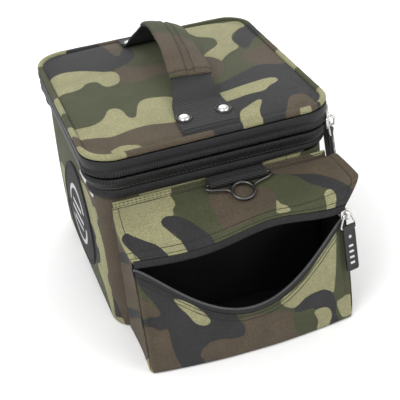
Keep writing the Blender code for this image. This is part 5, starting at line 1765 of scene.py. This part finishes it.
def makeSlider(prefix):
    # two rounded plates on a post, with a flat bridge over the outer one
    half, tall, edge = slider["length"] / 2, slider["height"] / 2, slider["edge"]
    parts = []
    turn = np.linspace(0, math.pi / 2, 5)
    for outer, inner, share in ((-0.0026, -0.0012, 1.0), (0.0017, 0.0027, 0.85)):
        steps = [(edge * (1 - math.sin(a)), outer + edge * (1 - math.cos(a))) for a in turn]
        steps += [(edge * (1 - math.cos(a)), inner - edge * (1 - math.sin(a))) for a in turn]
        parts.append(plateParts(half * share, -tall * share, tall * share, 0.0022, steps))
    post = [(0.0, -0.0016), (0.0, 0.0020)]
    parts.append(plateParts(0.0017, -0.00045, 0.00045, 0.0003, post))
    out, foot = -0.0056, tall * 0.80
    arch = smoothLine([(0, -0.0020, -foot), (0, -0.0038, -foot * 1.02), (0, out, -foot * 0.62),
                       (0, out - 0.0002, 0), (0, out, foot * 0.62), (0, -0.0038, foot * 1.02),
                       (0, -0.0020, foot)])
    parts.append(tubeParts(evenly(arch, 0.0003), circle(0.0016, 12, 0.48), (1, 0, 0)))
    body = closeEnds(meshFrom(prefix + "SliderMetal", *placed(parts, prefix, 0), nickel))
    settle(body, prefix + "_zip_slider", "nickel", prefix + "_slider")


def makePull(prefix):
    # wire bent to a trapezoid; each corner is a short curve
    wide, bend = slider["tabWidth"] / 2 + 0.0013, 0.0010
    top, shoulder, drop = 0.0036, 0.002 - slider["pullDrop"], -slider["pullDrop"]
    outline = []
    corners = [(-top, 0.0), (top, 0.0), (wide, shoulder), (wide, drop), (-wide, drop), (-wide, shoulder)]
    for index, corner in enumerate(corners):
        before, after = corners[index - 1], corners[(index + 1) % len(corners)]
        for share in np.linspace(0, 1, 6):
            a = np.array(corner) + (np.array(before) - corner) / max(math.dist(before, corner), 1e-9) * bend
            b = np.array(corner) + (np.array(after) - corner) / max(math.dist(after, corner), 1e-9) * bend
            outline.append((1 - share) ** 2 * a + 2 * share * (1 - share) * np.array(corner) + share ** 2 * b)
    line = evenly(np.vstack([outline, outline[:1]]), 0.0004)[:-1]
    path = np.stack([line[:, 0], 0 * line[:, 0], line[:, 1]], -1)
    parts = [tubeParts(path, circle(slider["wire"], 10), (0, 1, 0), True)]
    pull = closeEnds(meshFrom(prefix + "PullMetal", *placed(parts, prefix, 1), nickel))
    settle(pull, prefix + "_zip_pull", "nickel", prefix + "_pull")


def makeTab(prefix):
    # rubber tab with a raised rim and a round head; its marks are a plain dot and four bars
    thick, half = slider["tabThick"] / 2, slider["tabWidth"] / 2
    steps = [(0.0016, -thick + 0.00030), (0.0013, -thick + 0.00026), (0.0011, -thick), (0.0005, -thick),
             (0.00015, -thick + 0.00020), (0.0, -thick + 0.0006), (0.0, thick - 0.0006),
             (0.00015, thick - 0.00020), (0.0005, thick), (0.0016, thick)]
    parts = [plateParts(half, -slider["tabLength"], -0.0012, 0.0022, steps)]
    head = np.stack([np.linspace(-half, half, 20), np.zeros(20), np.zeros(20)], -1)
    parts.append(tubeParts(head, circle(0.0021, 18), (0, 1, 0)))
    tab = closeEnds(meshFrom(prefix + "TabRubber", *placed(parts, prefix, 2), rubber))
    settle(tab, prefix + "_zip_tab", "rubber", prefix + "_tab")
    steps = [(0.0006, -thick - 0.00008), (0.0002, -thick - 0.00008), (0.0, -thick + 0.0003),
             (0.0006, -thick + 0.0004)]
    marks = [plateParts(0.0015, -0.0105, -0.0075, 0.0014, steps)]
    bars = (-0.0355, -0.0300, -0.0245, -0.0190)
    marks += [plateParts(0.0024, low, low + 0.0022, 0.0006, steps) for low in bars]
    mark = closeEnds(meshFrom(prefix + "TabMarks", *placed(marks, prefix, 2), paleRubber))
    settle(mark, prefix + "_zip_tab", "rubber")


for prefix in ("front", "right", "pocket"):
    makeSlider(prefix)
    makePull(prefix)
    makeTab(prefix)
print("sliders done")


# what is kept of the frame, and the stage
for name, node in nodes.items():
    if not node.hide_render:
        node.data.materials.clear()
        node.data.materials.append(foamSkin if "foam" in name else boardSkin)
        print("kept", name)

# the lid stands a little higher in front, most at the right corner; the zip hardly moves
raised = {"from": 0.150, "to": 0.178, "front": 0.0035, "right": 0.0015, "back": 0.07, "reach": 0.18,
          "pocketY": -0.128, "left": -0.06, "width": 0.17}


def raiseAmount(x, y, z):
    # smooth in height, straight towards the front, and nothing out over the pocket
    height = np.clip((z - raised["from"]) / (raised["to"] - raised["from"]), 0, 1)
    forward = np.clip((raised["back"] - y) / raised["reach"], 0, 1) * (y > raised["pocketY"])
    across = np.clip((x - raised["left"]) / raised["width"], 0, 1)
    return height * height * (3 - 2 * height) * forward * (raised["front"] + raised["right"] * across)


def raiseFront():
    # the zip sliders stay on their axes
    fixed = tuple(side + part for side in ("front", "right") for part in ("Slider", "Pull", "Tab"))
    for piece in bpy.data.objects:
        if piece.type != "MESH" or piece.name in nodes or piece.name.startswith(fixed):
            continue
        points = np.empty(len(piece.data.vertices) * 3, "f")
        piece.data.vertices.foreach_get("co", points)
        points = points.reshape(-1, 3)
        points[:, 2] += raiseAmount(*points.T)
        piece.data.vertices.foreach_set("co", points.ravel())
        piece.data.update()


raiseFront()
floorGrid = np.array([[(x * studio["floorHalf"], y * studio["floorHalf"], 0.0) for x in (-1, 0, 1)]
                      for y in (-1, 0, 1)])
floorPiece = gridPiece("studioFloor", floorGrid, floorSkin)
makeCamera()
makeStudio()

print("finishing")
